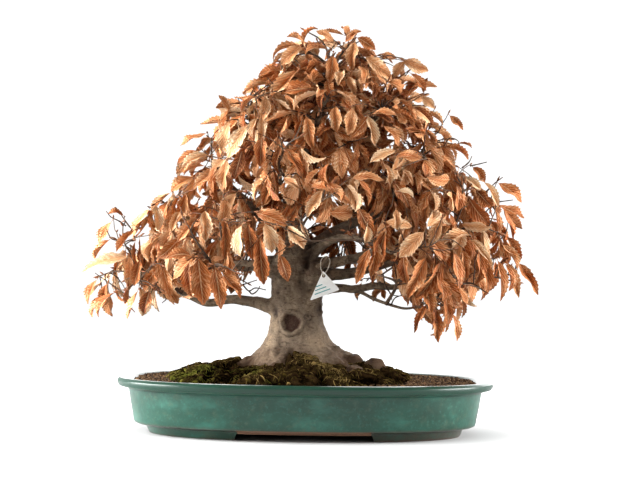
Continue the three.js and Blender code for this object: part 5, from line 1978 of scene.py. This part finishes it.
@dataclass
class Pot:
    """The oval glazed pot: a profile carried round an oval, with its gap and its drain holes cut."""

    finish: Material
    half: float = 225.0
    sides: int = 240
    gap_top: float = 77.0
    gap_bottom: float = 80.0
    foot: float = 7.6
    drain_x: float = 88.0
    drain_radius: float = 13.0

    def profile(self) -> Array:
        """Half length and height, from the underside's middle out over the lip to the floor's middle."""
        h = self.half
        corners = [
            (0, 11), (h - 120, 11), (h - 60, 11), (h - 47, 10.9), (h - 46, 9.5), (h - 45, 0.5), (h - 44.2, 0),
            (h - 38.8, 0), (h - 38, 0.6), (h - 34.6, 9.4), (h - 33.4, 10.6), (h - 30, 11), (h - 24.6, 11.1),
            (h - 21.6, 11.9), (h - 20.1, 13.9), (h - 19.4, 17.4), (h - 18.5, 23), (h - 16.4, 34),
            (h - 14.6, 45),
            (h - 13.6, 51), (h - 13.2, 52.4), (h - 12.6, 53.1), (h - 11, 53.4), (h - 9.9, 53.8),
            (h - 9.6, 54.5),
            (h - 10, 55.1), (h - 8.9, 55.2), (h - 5.4, 54.8), (h - 2.2, 55.7), (h - 0.4, 57.8), (h, 60.2),
            (h - 0.4, 62.6), (h - 1.9, 64.6), (h - 4.6, 65.4), (h - 8.5, 65.3), (h - 12, 64.4),
            (h - 14.8, 62.8),
            (h - 16.6, 60.6), (h - 17.6, 58), (h - 22.5, 36), (h - 25, 28), (h - 30, 21.5), (h - 38, 18.3),
            (h - 60, 18), (h - 120, 18), (0, 18),
        ]
        return smooth_path(np.array(corners, float), 150)

    def across(self, reach: Array) -> Array:
        """Half the width where half the length is reach: 60 less, or half of it near the middle."""
        return np.where(reach > 120, reach - 60, reach / 2)

    def reach_at(self, x: Array, y: Array) -> Array:
        """Half the length of the oval that passes through places, found by halving the span that it lies in.

        Args:
            x: places along the pot.
            y: places across it.

        Returns:
            Half the oval's length at each place.
        """
        low, high = np.full_like(x, 1e-3), np.full_like(x, 260.0)
        for _ in range(24):
            middle = (low + high) / 2
            beyond = oval_share(x / middle, y / self.across(middle)) > 1
            low, high = np.where(beyond, middle, low), np.where(beyond, high, middle)
        return high

    def shell(self) -> Shell:
        """The turned body, closed on its axis by a point on either side.

        Returns:
            The body before it is cut.
        """
        line = self.profile()[1:-1]
        turn = np.linspace(0, math.tau, self.sides, endpoint=False)
        hand = 1 + 0.0009 * np.sin(turn * 3 + 1) + 0.0006 * np.sin(turn * 7)
        along, deep = oval_plan(turn)
        x = line[:, 0:1] * along * hand
        y = self.across(line[:, 0:1]) * deep * hand
        z = np.repeat(line[:, 1:2], self.sides, axis=1)
        return turned(np.stack([x, y, np.maximum(z, 0)], -1), np.array([0, 0, 11.0]), np.array([0, 0, 18.0]))

    def cutters(self) -> Shell:
        """The gap's wedge and the two drain holes' rods.

        Returns:
            The bodies to take away.
        """
        low, deep = self.gap_bottom + 0.8, 260.0
        section = np.array([(-low, -2), (low, -2), (self.gap_top, self.foot), (-self.gap_top, self.foot)])
        ends = [np.column_stack([section[:, 0], np.full(4, y), section[:, 1]]) for y in (-deep, deep)]
        faces = np.array([[0, 1, 2, 3], [5, 4, 7, 6], [1, 5, 6, 2], [4, 0, 3, 7], [3, 2, 6, 7], [4, 5, 1, 0]])
        middles = (-self.drain_x, self.drain_x)
        holes = np.array([[(x, 0, z) for z in np.linspace(6, 24, 5)] for x in middles], float)
        rods = tubes(holes, np.full((2, 5), self.drain_radius), 48)
        return Shell.joined([Shell(np.vstack(ends), faces), rods])

    def bare_faces(self, mesh: bpy.types.Mesh) -> Array:
        """Which faces show bare clay: the gap's sides and top, the underside and the foot's standing ring.

        Args:
            mesh: the cut pot.

        Returns:
            1 on bare faces and 0 on the others.
        """
        middles, normals = face_places(mesh)
        across, z = np.abs(middles[:, 0]), middles[:, 2]
        reach = self.reach_at(middles[:, 0], middles[:, 1])
        over_gap = (across < self.gap_top + 1) & (z < 12.9)
        cut_end = (np.abs(normals[:, 0]) > 0.75) & (across < self.gap_bottom + 1) & (z < 9)
        cut_end &= reach < self.half - 33
        below = (reach < self.half - 44) & (z < 17.5)
        return (over_gap | cut_end | below | (z < 0.5)).astype(float)

    def wear(self, points: Array) -> dict[str, Array]:
        """Where the glaze is thin on edges, ends above the foot or is darkened by soot.

        Args:
            points: places in millimetres.

        Returns:
            The numbers bare, thin and soot.
        """
        x, y, z = points.T
        half, reach = self.half, self.reach_at(x, y)
        lip = 0.5 * hump(z, 61.5, 1.5) * ease(half - 3, half - 0.5, reach)
        bead = hump(z, 54.8, 1.1) * ease(half - 13, half - 10, reach) * 0.6
        foot = ease(half - 31, half - 34, reach) * ease(11.5, 9.5, z)
        under = ease(13.4, 12.0, z) * ease(half - 34, half - 31, reach)
        stain = foot * (0.16 + 0.5 * ease(-160, 200, x) + 0.5 * ease(2.4, 0.8, z))
        bare = 0.5 * ease(3.0, 0.6, z) + 0.3 * ease(16, 12, z) * ease(half - 38, half - 24, reach)
        return {"bare": bare, "thin": np.maximum(lip, bead), "soot": np.maximum(stain, 0.8 * under)}

    def build(self) -> None:
        """Turns, cuts and glazes the pot."""
        body = put_down("oval_pot", self.shell())
        cutter = put_down("pot_cutter", self.cutters())
        cut = body.modifiers.new("cut", "BOOLEAN")
        cut.operation = "DIFFERENCE"
        cut.solver = "EXACT"
        cut.object = cutter
        settle_modifiers(body)
        bpy.data.objects.remove(cutter)
        note(body.data, "POINT", self.wear(read_mesh(body.data)[0]))
        note(body.data, "FACE", {"cut": self.bare_faces(body.data)})
        body.data.set_sharp_from_angle(angle=math.radians(38))
        finish_piece(body, self.finish, ("pot",))


# The planting


@dataclass
class Planting:
    """Soil with loose grains, and moss in six mats with tufts and strands."""

    finishes: dict[Finish, Material]
    middle: tuple[float, float] = (-20.0, 0.0)
    reach: tuple[float, float] = (146.0, 142.0)
    mats: tuple[tuple[float, float, float], ...] = (
        (-176, -124, 9), (-128, -60, 13), (-64, -4, 9), (-8, 54, 7), (50, 120, 11), (116, 188, 9),
    )

    def share_at(self, x: Array, y: Array) -> Array:
        """How far out places lie in the moss, 1 at its edge: an oval with squarer shoulders."""
        along, across = (x - self.middle[0]) / self.reach[0], (y - self.middle[1]) / self.reach[1]
        return np.cbrt(np.abs(along) ** 3 + np.abs(across) ** 3)

    def spot(self, share: Array, angle: Array) -> tuple[Array, Array]:
        """The place at a share of the way out and at an angle, kept inside the soil's edge.

        Args:
            share: how far out it lies, 1 at the moss's edge.
            angle: its angle in radians.

        Returns:
            Its x and y.
        """
        c, s = np.cos(angle), np.sin(angle)
        out = share / np.cbrt(np.abs(c) ** 3 + np.abs(s) ** 3)
        x, y = self.middle[0] + self.reach[0] * out * c, self.middle[1] + self.reach[1] * out * s
        over = np.maximum(1, oval_share(x / 201, y / 143))
        return x / over, y / over

    def surface(self, x: Array, y: Array) -> Array:
        """The soil's top: the mound with low uneven noise."""
        flat = level(x, y)
        return ground_height(x, y) + 0.9 * layered_noise(flat, 22.0, 3, 101) + 0.35 * noise(flat, 3.2, 104)

    def build_soil(self) -> None:
        """The soil body: a polar sheet of the surface, walled down to the pot's floor."""
        rings, turns, bottom = 110, 300, 19.6
        share = np.linspace(0.01, 1, rings)[:, None] ** 0.8
        along, deep = oval_plan(np.linspace(0, math.tau, turns, endpoint=False)[None, :])
        x, y = 206.6 * share * along, 146.6 * share * deep
        top = np.stack([x, y, self.surface(x, y) - 3.0 * ease(0.97, 1.0, share)], -1)[::-1]
        wall = np.stack([x[-1] * 0.93, y[-1] * 0.9, np.full(turns, 24.0)], -1)
        floor = np.stack([x[-1] * 0.88, y[-1] * 0.84, np.full(turns, bottom)], -1)
        peak = self.surface(np.zeros(1), np.zeros(1))[0]
        body = np.concatenate([floor[None], wall[None], top])
        shell = turned(body, np.array([0, 0, bottom]), np.array([0, 0, peak]))
        shell.at_points["tone"] = 0.32 + 0.2 * noise(shell.points, 6.0, 105)
        finish_piece(put_down("packed_soil", shell), self.finishes[Finish.SOIL], ("soil",))

    def build_grains(self) -> None:
        """Loose clay grains on the soil where the moss leaves it bare."""
        draw = np.random.default_rng(21)
        share = np.sqrt(draw.uniform(0.2, 1, 16000))
        along, deep = oval_plan(draw.uniform(0, math.tau, 16000))
        x, y = 205.0 * share * along, 145.0 * share * deep
        keep = self.share_at(x, y) > 0.9 + 0.12 * np.sin(np.arctan2(y, x) * 7)
        x, y, share = x[keep][:4700], y[keep][:4700], share[keep][:4700]
        size = draw.uniform(0.9, 2.1, (len(x), 1)) * draw.uniform(0.75, 1.1, (len(x), 3))
        z = self.surface(x, y) - 3.0 * ease(0.97, 1.0, share) + 0.45 * size.mean(axis=1)
        shell = blobs(np.column_stack([x, y, z]), size, 22)
        spread(shell, "tone", np.clip(draw.normal(0.55, 0.22, len(x)), 0, 1))
        finish_piece(put_down("clay_grains", shell, False), self.finishes[Finish.GRAIN])

    def cushions(self, x: Array, y: Array) -> Array:
        """Round cushions with creases between them: the size of two noises, nought on a net of lines.

        Args:
            x: places along the pot.
            y: places across it.

        Returns:
            0 in the creases to 1 on the cushions.
        """
        flat = level(x, y)
        flat = flat + 4.0 * level(noise(flat, 14.0, 121), noise(flat, 14.0, 122))
        wide, small = np.abs(noise(flat, 34.0, 111)), np.abs(noise(flat, 10.0, 112))
        return 0.68 * ease(0.0, 0.42, wide) + 0.32 * ease(0.0, 0.45, small)

    def mat_height(self, x: Array, y: Array, thick: float) -> Array:
        """How high a mat stands over the soil: none at its edge, and uneven where it meets the trunk.

        Args:
            x: places along the pot.
            y: places across it.
            thick: the mat's greatest height.

        Returns:
            The height at each place.
        """
        share = self.share_at(x, y)
        climb = noise(level(x, y), 30.0, 118)
        near = mix(0.25 + 0.75 * ease(-0.3, 0.5, climb), 1.0, ease(0.35, 0.65, share))
        return thick * near * np.sqrt(np.clip(1 - share**4, 0, 1)) * (0.1 + 1.35 * self.cushions(x, y))

    def mat_top(self, x: Array, y: Array, thick: float) -> Array:
        """The top of a mat, or of the soil beside it."""
        return self.surface(x, y) + np.maximum(self.mat_height(x, y, thick), 0)

    def strands(self, draw: np.random.Generator, low: float, high: float, thick: float) -> Shell:
        """Strands that lie on a mat and drape down the sides of its cushions.

        Each runs along the mat's steepest way down, turned aside by a noise, and takes its heights from the
        mat.

        Args:
            draw: where the random numbers come from.
            low: the angle that the mat starts at, in degrees.
            high: the angle that it ends at.
            thick: the mat's greatest height over the soil.

        Returns:
            The strands, with their tones.
        """
        count = 1250
        bx, by = self.spot(draw.uniform(0.25, 1.02, count) ** 0.8, np.radians(draw.uniform(low, high, count)))
        flat = level(bx, by)
        beside = [self.mat_height(bx + 2, by, thick), self.mat_height(bx, by + 2, thick)]
        down = self.mat_height(bx, by, thick)[:, None] - np.column_stack(beside)
        comb = math.tau * (noise(flat, 24.0, 116) + 0.25 * noise(flat, 9.0, 117)) + draw.normal(0, 0.7, count)
        lean = unit(1.3 * down + 0.6 * np.column_stack([np.cos(comb), np.sin(comb)]))
        clump = self.cushions(bx, by)
        t = np.linspace(0, 1, 5)
        run = (draw.uniform(4, 13, count) * (0.3 + 0.8 * clump))[:, None] * t
        x, y = bx[:, None] + lean[:, :1] * run, by[:, None] + lean[:, 1:] * run
        rise = draw.uniform(0.1, 1.8, (count, 1)) * np.sin(math.pi * (0.1 + 0.75 * t)) - 0.3
        z = self.mat_top(x, y, thick) + rise
        radii = np.array([0.36, 0.44, 0.4, 0.3, 0.1]) * draw.uniform(0.5, 1.15, (count, 1))
        shell = tubes(np.stack([x, y, z], -1), radii, 3)
        # painted shade: strands in the creases between cushions are darker
        tone = -0.5 + 1.1 * clump + 0.3 * noise(flat, 40.0, 119) + draw.normal(0, 0.17, count)
        spread(shell, "tone", np.clip(tone, 0, 1))
        return shell

    def tufts(self, draw: np.random.Generator, number: int, low: float, high: float, thick: float) -> Shell:
        """Small tufts that stand on a mat.

        Args:
            draw: where the random numbers come from.
            number: the mat's number.
            low: the angle that the mat starts at, in degrees.
            high: the angle that it ends at.
            thick: the mat's greatest height over the soil.

        Returns:
            The tufts, with their tones.
        """
        count = 150
        share = draw.uniform(0.3, 1.0, count) ** 0.7
        x, y = self.spot(share, np.radians(draw.uniform(low + 2, high - 2, count)))
        size = draw.uniform(1.2, 3.0, (count, 1)) * draw.uniform(0.6, 1.3, (count, 3))
        shell = blobs(np.column_stack([x, y, self.mat_top(x, y, thick) - 0.8]), size, 300 + number)
        # painted shade: tufts in the creases are a little darker
        spread(shell, "tone", np.clip(0.4 * self.cushions(x, y) + draw.normal(0, 0.2, count), 0, 1))
        return shell

    def build_mat(self, number: int, low: float, high: float, thick: float) -> None:
        """One mat between two angles, as a thick sheet with strands and tufts rooted in it.

        Args:
            number: the mat's number, which is also its node's.
            low: the angle that it starts at, in degrees.
            high: the angle that it ends at.
            thick: its greatest height over the soil.
        """
        draw = np.random.default_rng(200 + number)
        share, along = np.linspace(0, 1, 56)[:, None], np.linspace(0, 1, 66)
        angle = np.radians(np.linspace(low, high, 66))[None, :]
        uneven = 1 + 0.07 * np.sin(angle * 5 + number) + 0.06 * np.sin(angle * 11 + number * 2)
        x, y = self.spot(mix(0.24, uneven + 0.03 * np.sin(angle * 29), share), angle)
        edge = np.sqrt(np.clip(1 - share**6, 0, 1)) * np.minimum(1, 9 * along * (1 - along))[None, :] ** 0.5
        height = np.maximum(self.mat_height(x, y, thick) * edge, -1.5)
        ground = self.surface(x, y)
        sheets = [np.stack([x, y, z], -1)[::-1] for z in (ground + height, ground - 2.2)]
        mat = slab(*sheets)
        # painted shade: the mat's tone is darkest in the creases between cushions and lighter on their tops
        high_up = 0.75 * self.cushions(*mat.points[:, :2].T)
        mat.at_points["tone"] = high_up - 0.3 + 0.12 * noise(mat.points, 3.0, 114)
        strands = self.strands(draw, low, high, thick)
        shell = Shell.joined([mat, strands, self.tufts(draw, number, low, high, thick)])
        spots = shell.points
        px, py = spots[:, 0], spots[:, 1]
        fresh = 0.6 * ease(-95, -115, px) * ease(15, -35, py) * ease(-0.5, 0.2, noise(spots, 15.0, 120))
        fresh += 0.5 * ease(-20, -50, px) * ease(-20, -60, py) * ease(0.0, 0.4, noise(spots, 20.0, 115))
        shell.at_points["fresh"] = np.clip(fresh, 0, 1)
        piece = put_down(f"moss_mat_{number}", shell)
        finish_piece(piece, self.finishes[Finish.MOSS], (f"moss_pad_{number}",))

    def build(self) -> None:
        """Builds the soil, its grains and the six mats."""
        self.build_soil()
        self.build_grains()
        for number, (low, high, thick) in enumerate(self.mats, 1):
            self.build_mat(number, low, high, thick)


# Tag, string and drainage


@dataclass
class NameTag:
    """A small white triangle with a hole and ruled lines, on a loop of string round its spur."""

    finishes: dict[Finish, Material]
    corners: tuple[tuple[float, float], ...] = ((19.2, 194.6), (39.6, 172.2), (4.2, 158.6))
    face_y: float = -40.0
    thickness: float = 0.8
    hole: tuple[float, float] = (20.2, 188.4)
    hole_radius: float = 2.1

    def outline(self, count: int) -> Array:
        """The triangle with rounded corners, as even steps in x and z.

        Args:
            count: the number of steps.

        Returns:
            Points of shape (count, 2).
        """
        c, rounded = np.array(self.corners), []
        t = np.linspace(0, 1, 7)[:, None]
        for k in range(3):
            before, here, after = c[k - 1], c[k], c[(k + 1) % 3]
            a, b = here + unit(before - here) * 2.6, here + unit(after - here) * 2.6
            rounded.append((1 - t) ** 2 * a + 2 * t * (1 - t) * here + t**2 * b)
        ring = np.vstack(rounded)
        return even_steps(np.vstack([ring, ring[:1]]), count, True)

    def build(self) -> None:
        """The tag as a flat ring from its hole to the rounded triangle, with soft edges, and its string."""
        count = 120
        rim, middle = self.outline(count), np.array(self.hole)
        rim = rim[np.argsort(np.arctan2(rim[:, 1] - middle[1], rim[:, 0] - middle[0]))]
        spoke = unit(rim - middle)
        inner, shy = middle + spoke * self.hole_radius, rim - spoke * 0.35
        front, back = self.face_y, self.face_y + self.thickness
        section = ((inner, front), (shy, front), (rim, front + 0.25))
        section += ((rim, back - 0.25), (shy, back), (inner, back))
        body = np.array([np.column_stack([flat[:, 0], np.full(count, y), flat[:, 1]]) for flat, y in section])
        shell = Shell(body.reshape(-1, 3), grid_quads(len(body), count, True, True)[:, ::-1])
        plate = put_down("name_tag_plate", shell)
        plate.data.set_sharp_from_angle(angle=math.radians(40))
        finish_piece(plate, self.finishes[Finish.TAG], ("name_tag",))
        self.build_lines()
        self.build_string()

    def build_lines(self) -> None:
        """Three ruled lines across the tag, level with its lowest edge, standing 0.12 off it."""
        low, right = np.array(self.corners[2]), np.array(self.corners[1])
        run = unit(right - low)
        up = np.array([-run[1], run[0]])
        bars = []
        for height, start, stop in ((5.0, 8.0, 27.5), (9.0, 10.0, 24.0), (13.0, 12.5, 20.5)):
            a, b = low + run * start + up * height, low + run * stop + up * height
            flat = np.array([[a - up * 0.55, b - up * 0.55], [a + up * 0.55, b + up * 0.55]])
            heights = (self.face_y - 0.12, self.face_y + 0.2)
            bars.append(slab(*[np.dstack([flat[..., 0], np.full((2, 2), y), flat[..., 1]]) for y in heights]))
        rules = put_down("tag_ruled_lines", Shell.joined(bars), False)
        finish_piece(rules, self.finishes[Finish.TAG_INK])

    def build_string(self) -> None:
        """Two strands twisted round the loop's route."""
        hx, hz = self.hole
        y = self.face_y
        loop = np.array(
            [
                (hx, y + 0.4, hz - 0.4), (hx - 1, y - 1.9, hz + 2.2), (hx - 3.6, y - 1.8, hz + 9),
                (hx - 3, y - 0.6, hz + 19), (hx + 2, y + 0.4, hz + 23.2), (hx + 7, y + 1, hz + 19),
                (hx + 5, y + 2.6, hz + 9), (hx + 1, y + 2.7, hz + 2.2),
            ]
        )
        steps = 181
        line = smooth_path(loop, steps, True)
        slope = unit(np.roll(line, -1, 0) - np.roll(line, 1, 0))
        across = unit(np.cross(slope, np.array([0.2, 1.0, 0.1])))
        other = np.cross(slope, across)
        angle = np.arange(steps) * math.tau * 40 / steps
        turn = np.arange(6) * math.pi / 3
        round_it = np.cos(turn)[:, None] * across[:, None] + np.sin(turn)[:, None] * other[:, None]
        strands = []
        for start in (0.0, math.pi):
            offset = np.cos(angle + start)[:, None] * across + np.sin(angle + start)[:, None] * other
            grid = (line + offset * 0.28)[:, None] + 0.34 * round_it
            strands.append(Shell(grid.reshape(-1, 3), grid_quads(steps, 6, True, True)[:, ::-1]))
        cord = put_down("tag_string", Shell.joined(strands))
        finish_piece(cord, self.finishes[Finish.STRING], ("tag_tie",))


@dataclass
class Drainage:
    """The meshes over the drain holes and the wires that hold them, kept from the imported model."""

    finishes: dict[Finish, Material]

    def dress(self, nodes: dict[str, bpy.types.Object]) -> None:
        """Gives the carried-over nodes their materials."""
        for side in ("left", "right"):
            for name, finish in ((f"drain_mesh_{side}", Finish.MESH), (f"mesh_clip_{side}", Finish.WIRE)):
                nodes[name].data.materials.clear()
                nodes[name].data.materials.append(self.finishes[finish])


# Camera, floor and light


def aimed(place: Array, right: Array, up: Array, ahead: Array) -> Matrix:
    """The stance of a camera or a light.

    Args:
        place: where it stands, in metres.
        right: the direction to its right.
        up: the direction over it.
        ahead: the direction that it looks in.

    Returns:
        Its matrix.
    """
    turn = Matrix((tuple(right), tuple(up), tuple(-ahead))).transposed().to_4x4()
    return Matrix.Translation(tuple(float(c) for c in place)) @ turn


@dataclass
class ViewPoint:
    """The photograph's camera, in millimetres from the pot's middle."""

    place: tuple[float, float, float] = (6.302, -2150.0, 193.76)
    pitch: float = 0.0183
    roll: float = 0.0145
    focal_pixels: float = 1781.57

    def axes(self) -> tuple[Array, Array, Array]:
        """The camera's directions.

        Returns:
            Right, up and forward.
        """
        p, r = self.pitch, self.roll
        ahead = np.array([0, math.cos(p), math.sin(p)])
        up = np.array([0, -math.sin(p), math.cos(p)])
        right = np.array([1.0, 0, 0])
        return math.cos(r) * right + math.sin(r) * up, math.cos(r) * up - math.sin(r) * right, ahead

    def flattened(self, points: Array) -> Array:
        """Where points appear on the plane y = 0.

        Args:
            points: places in millimetres.

        Returns:
            Their x and z there, shape (..., 2).
        """
        eye = np.array(self.place)
        scale = -eye[1] / (points[..., 1] - eye[1])
        return eye[[0, 2]] + (points[..., [0, 2]] - eye[[0, 2]]) * scale[..., None]

    def placed(self, pixels: Array, depth: float | Array) -> Array:
        """The points at a depth that appear at places of the picture.

        Args:
            pixels: places in the picture, shape (..., 2).
            depth: their y.

        Returns:
            Points of shape (..., 3).
        """
        right, up, ahead = self.axes()
        across = (pixels[..., :1] - IMAGE_SIZE[0] / 2) / self.focal_pixels
        rise = (IMAGE_SIZE[1] / 2 - pixels[..., 1:2]) / self.focal_pixels
        ray = ahead + right * across + up * rise
        far = (np.asarray(depth, float)[..., None] - self.place[1]) / ray[..., 1:2]
        return np.array(self.place) + ray * far

    def build(self) -> None:
        """Makes the camera and sets it as the scene's."""
        right, up, ahead = self.axes()
        data = bpy.data.cameras.new("photograph_view")
        data.sensor_width = SENSOR_WIDTH_MM
        data.lens = self.focal_pixels * SENSOR_WIDTH_MM / IMAGE_SIZE[0]
        data.clip_start, data.clip_end = 0.05, 60.0
        camera = link("photograph_view", data)
        camera.matrix_world = aimed(to_metres(np.array(self.place)), right, up, ahead)
        bpy.context.scene.camera = camera


@dataclass
class Studio:
    """A pale floor, a white surround and four soft lights."""

    surround: float = 0.17

    def build(self) -> None:
        """Makes the floor, the world and the lights."""
        self.build_floor()
        self.build_world()
        self.add_light("left_softbox", (-1.38, -0.12, 0.5), (1.25, 1.2), 130)
        self.add_light("right_softbox", (1.45, -0.2, 0.5), (1.1, 1.1), 76)
        self.add_light("top_softbox", (-0.6, -1.1, 1.5), (0.8, 0.6), 12)
        self.add_light("back_softbox", (0.3, 1.9, 0.6), (1.8, 1.0), 20)
        bpy.context.scene.view_settings.view_transform = "Standard"

    def build_floor(self) -> None:
        """A wide pale sheet that the pot's feet stand on, glowing white away from them where it is seen."""
        mesh = bpy.data.meshes.new("floor")
        mesh.from_pydata([(-12, -12, 0), (12, -12, 0), (12, 12, 0), (-12, 12, 0)], [], [(0, 1, 2, 3)])
        b = Coat("pale_floor")
        away = b.add("ShaderNodeVectorMath", operation="LENGTH")
        b.feed(away, 0, b.place((1 / 0.225, 1 / 0.165, 1)))
        glow = b.span(away.outputs["Value"], 0.88, 1.6)
        seen = b.add("ShaderNodeLightPath").outputs["Is Camera Ray"]
        b.feed(b.surface, "Emission Strength", b.maths("MULTIPLY", glow, b.span(seen, 0, 1, (0.1, 1))))
        b.dress((0.4, 0.4, 0.4, 1), 0.95, Emission_Color=(1, 1, 1, 1), Specular_IOR_Level=0.1)
        mesh.materials.append(b.material)
        link("floor", mesh)

    def build_world(self) -> None:
        """A white surround: bright where it is seen, dim where it lights, mirrored brighter at the back."""
        world = bpy.data.worlds.new("studio_white")
        world.use_nodes = True
        world.node_tree.nodes.clear()
        b = Board(world.node_tree)
        rays, way = b.add("ShaderNodeLightPath").outputs, b.add("ShaderNodeSeparateXYZ")
        b.feed(way, 0, b.add("ShaderNodeTexCoord").outputs["Generated"])
        gloss = b.span(way.outputs["Y"], -0.3, 0.7, (0.12, 0.9))
        strength, both = b.add("ShaderNodeMix"), b.add("ShaderNodeMixShader")
        for key, value in ((0, rays["Is Glossy Ray"]), (2, self.surround), (3, gloss)):
            b.feed(strength, key, value)
        b.feed(both, 0, rays["Is Camera Ray"])
        for key, bright in ((1, strength.outputs[0]), (2, 1.1)):
            ground = b.add("ShaderNodeBackground")
            b.feed(ground, "Color", (1, 1, 1, 1))
            b.feed(ground, "Strength", bright)
            b.feed(both, key, ground.outputs[0])
        b.feed(b.add("ShaderNodeOutputWorld"), "Surface", both.outputs[0])
        bpy.context.scene.world = world

    def add_light(self, name: str, place: Place, size: tuple[float, float], watts: float) -> None:
        """Adds a softbox that faces the tree.

        Args:
            name: the light's name.
            place: where it stands, in metres.
            size: its width and height in metres.
            watts: its power.
        """
        data = bpy.data.lights.new(name, "AREA")
        data.shape = "RECTANGLE"
        data.size, data.size_y = size
        data.energy = watts
        ahead = unit(np.array([0.0, 0.0, 0.22]) - np.array(place))
        right = unit(np.cross(ahead, np.array([0.0, 1e-4, 1.0])))
        up = np.cross(right, ahead)
        link(name, data).matrix_world = aimed(place, right, up, ahead)


def main() -> None:
    """Loads the frame and builds every part of the object over it."""
    logging.basicConfig(level=logging.INFO, format="%(message)s")
    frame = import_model()
    ground = Ground.from_frame()
    GROUND.shift[:] = ground.shift
    view = ViewPoint()
    view.build()
    Studio().build()
    finishes = make_finishes()
    routes = twig_routes()
    wood = Wood(finishes, view)
    wood.build_trunk()
    wood.build_limbs()
    wood.build_shoots(routes)
    Crown(finishes, view, routes).build()
    Pot(finishes[Finish.GLAZE]).build()
    Planting(finishes).build()
    NameTag(finishes).build()
    Drainage(finishes).dress(frame["nodes"])


if __name__ == "__main__":
    main()
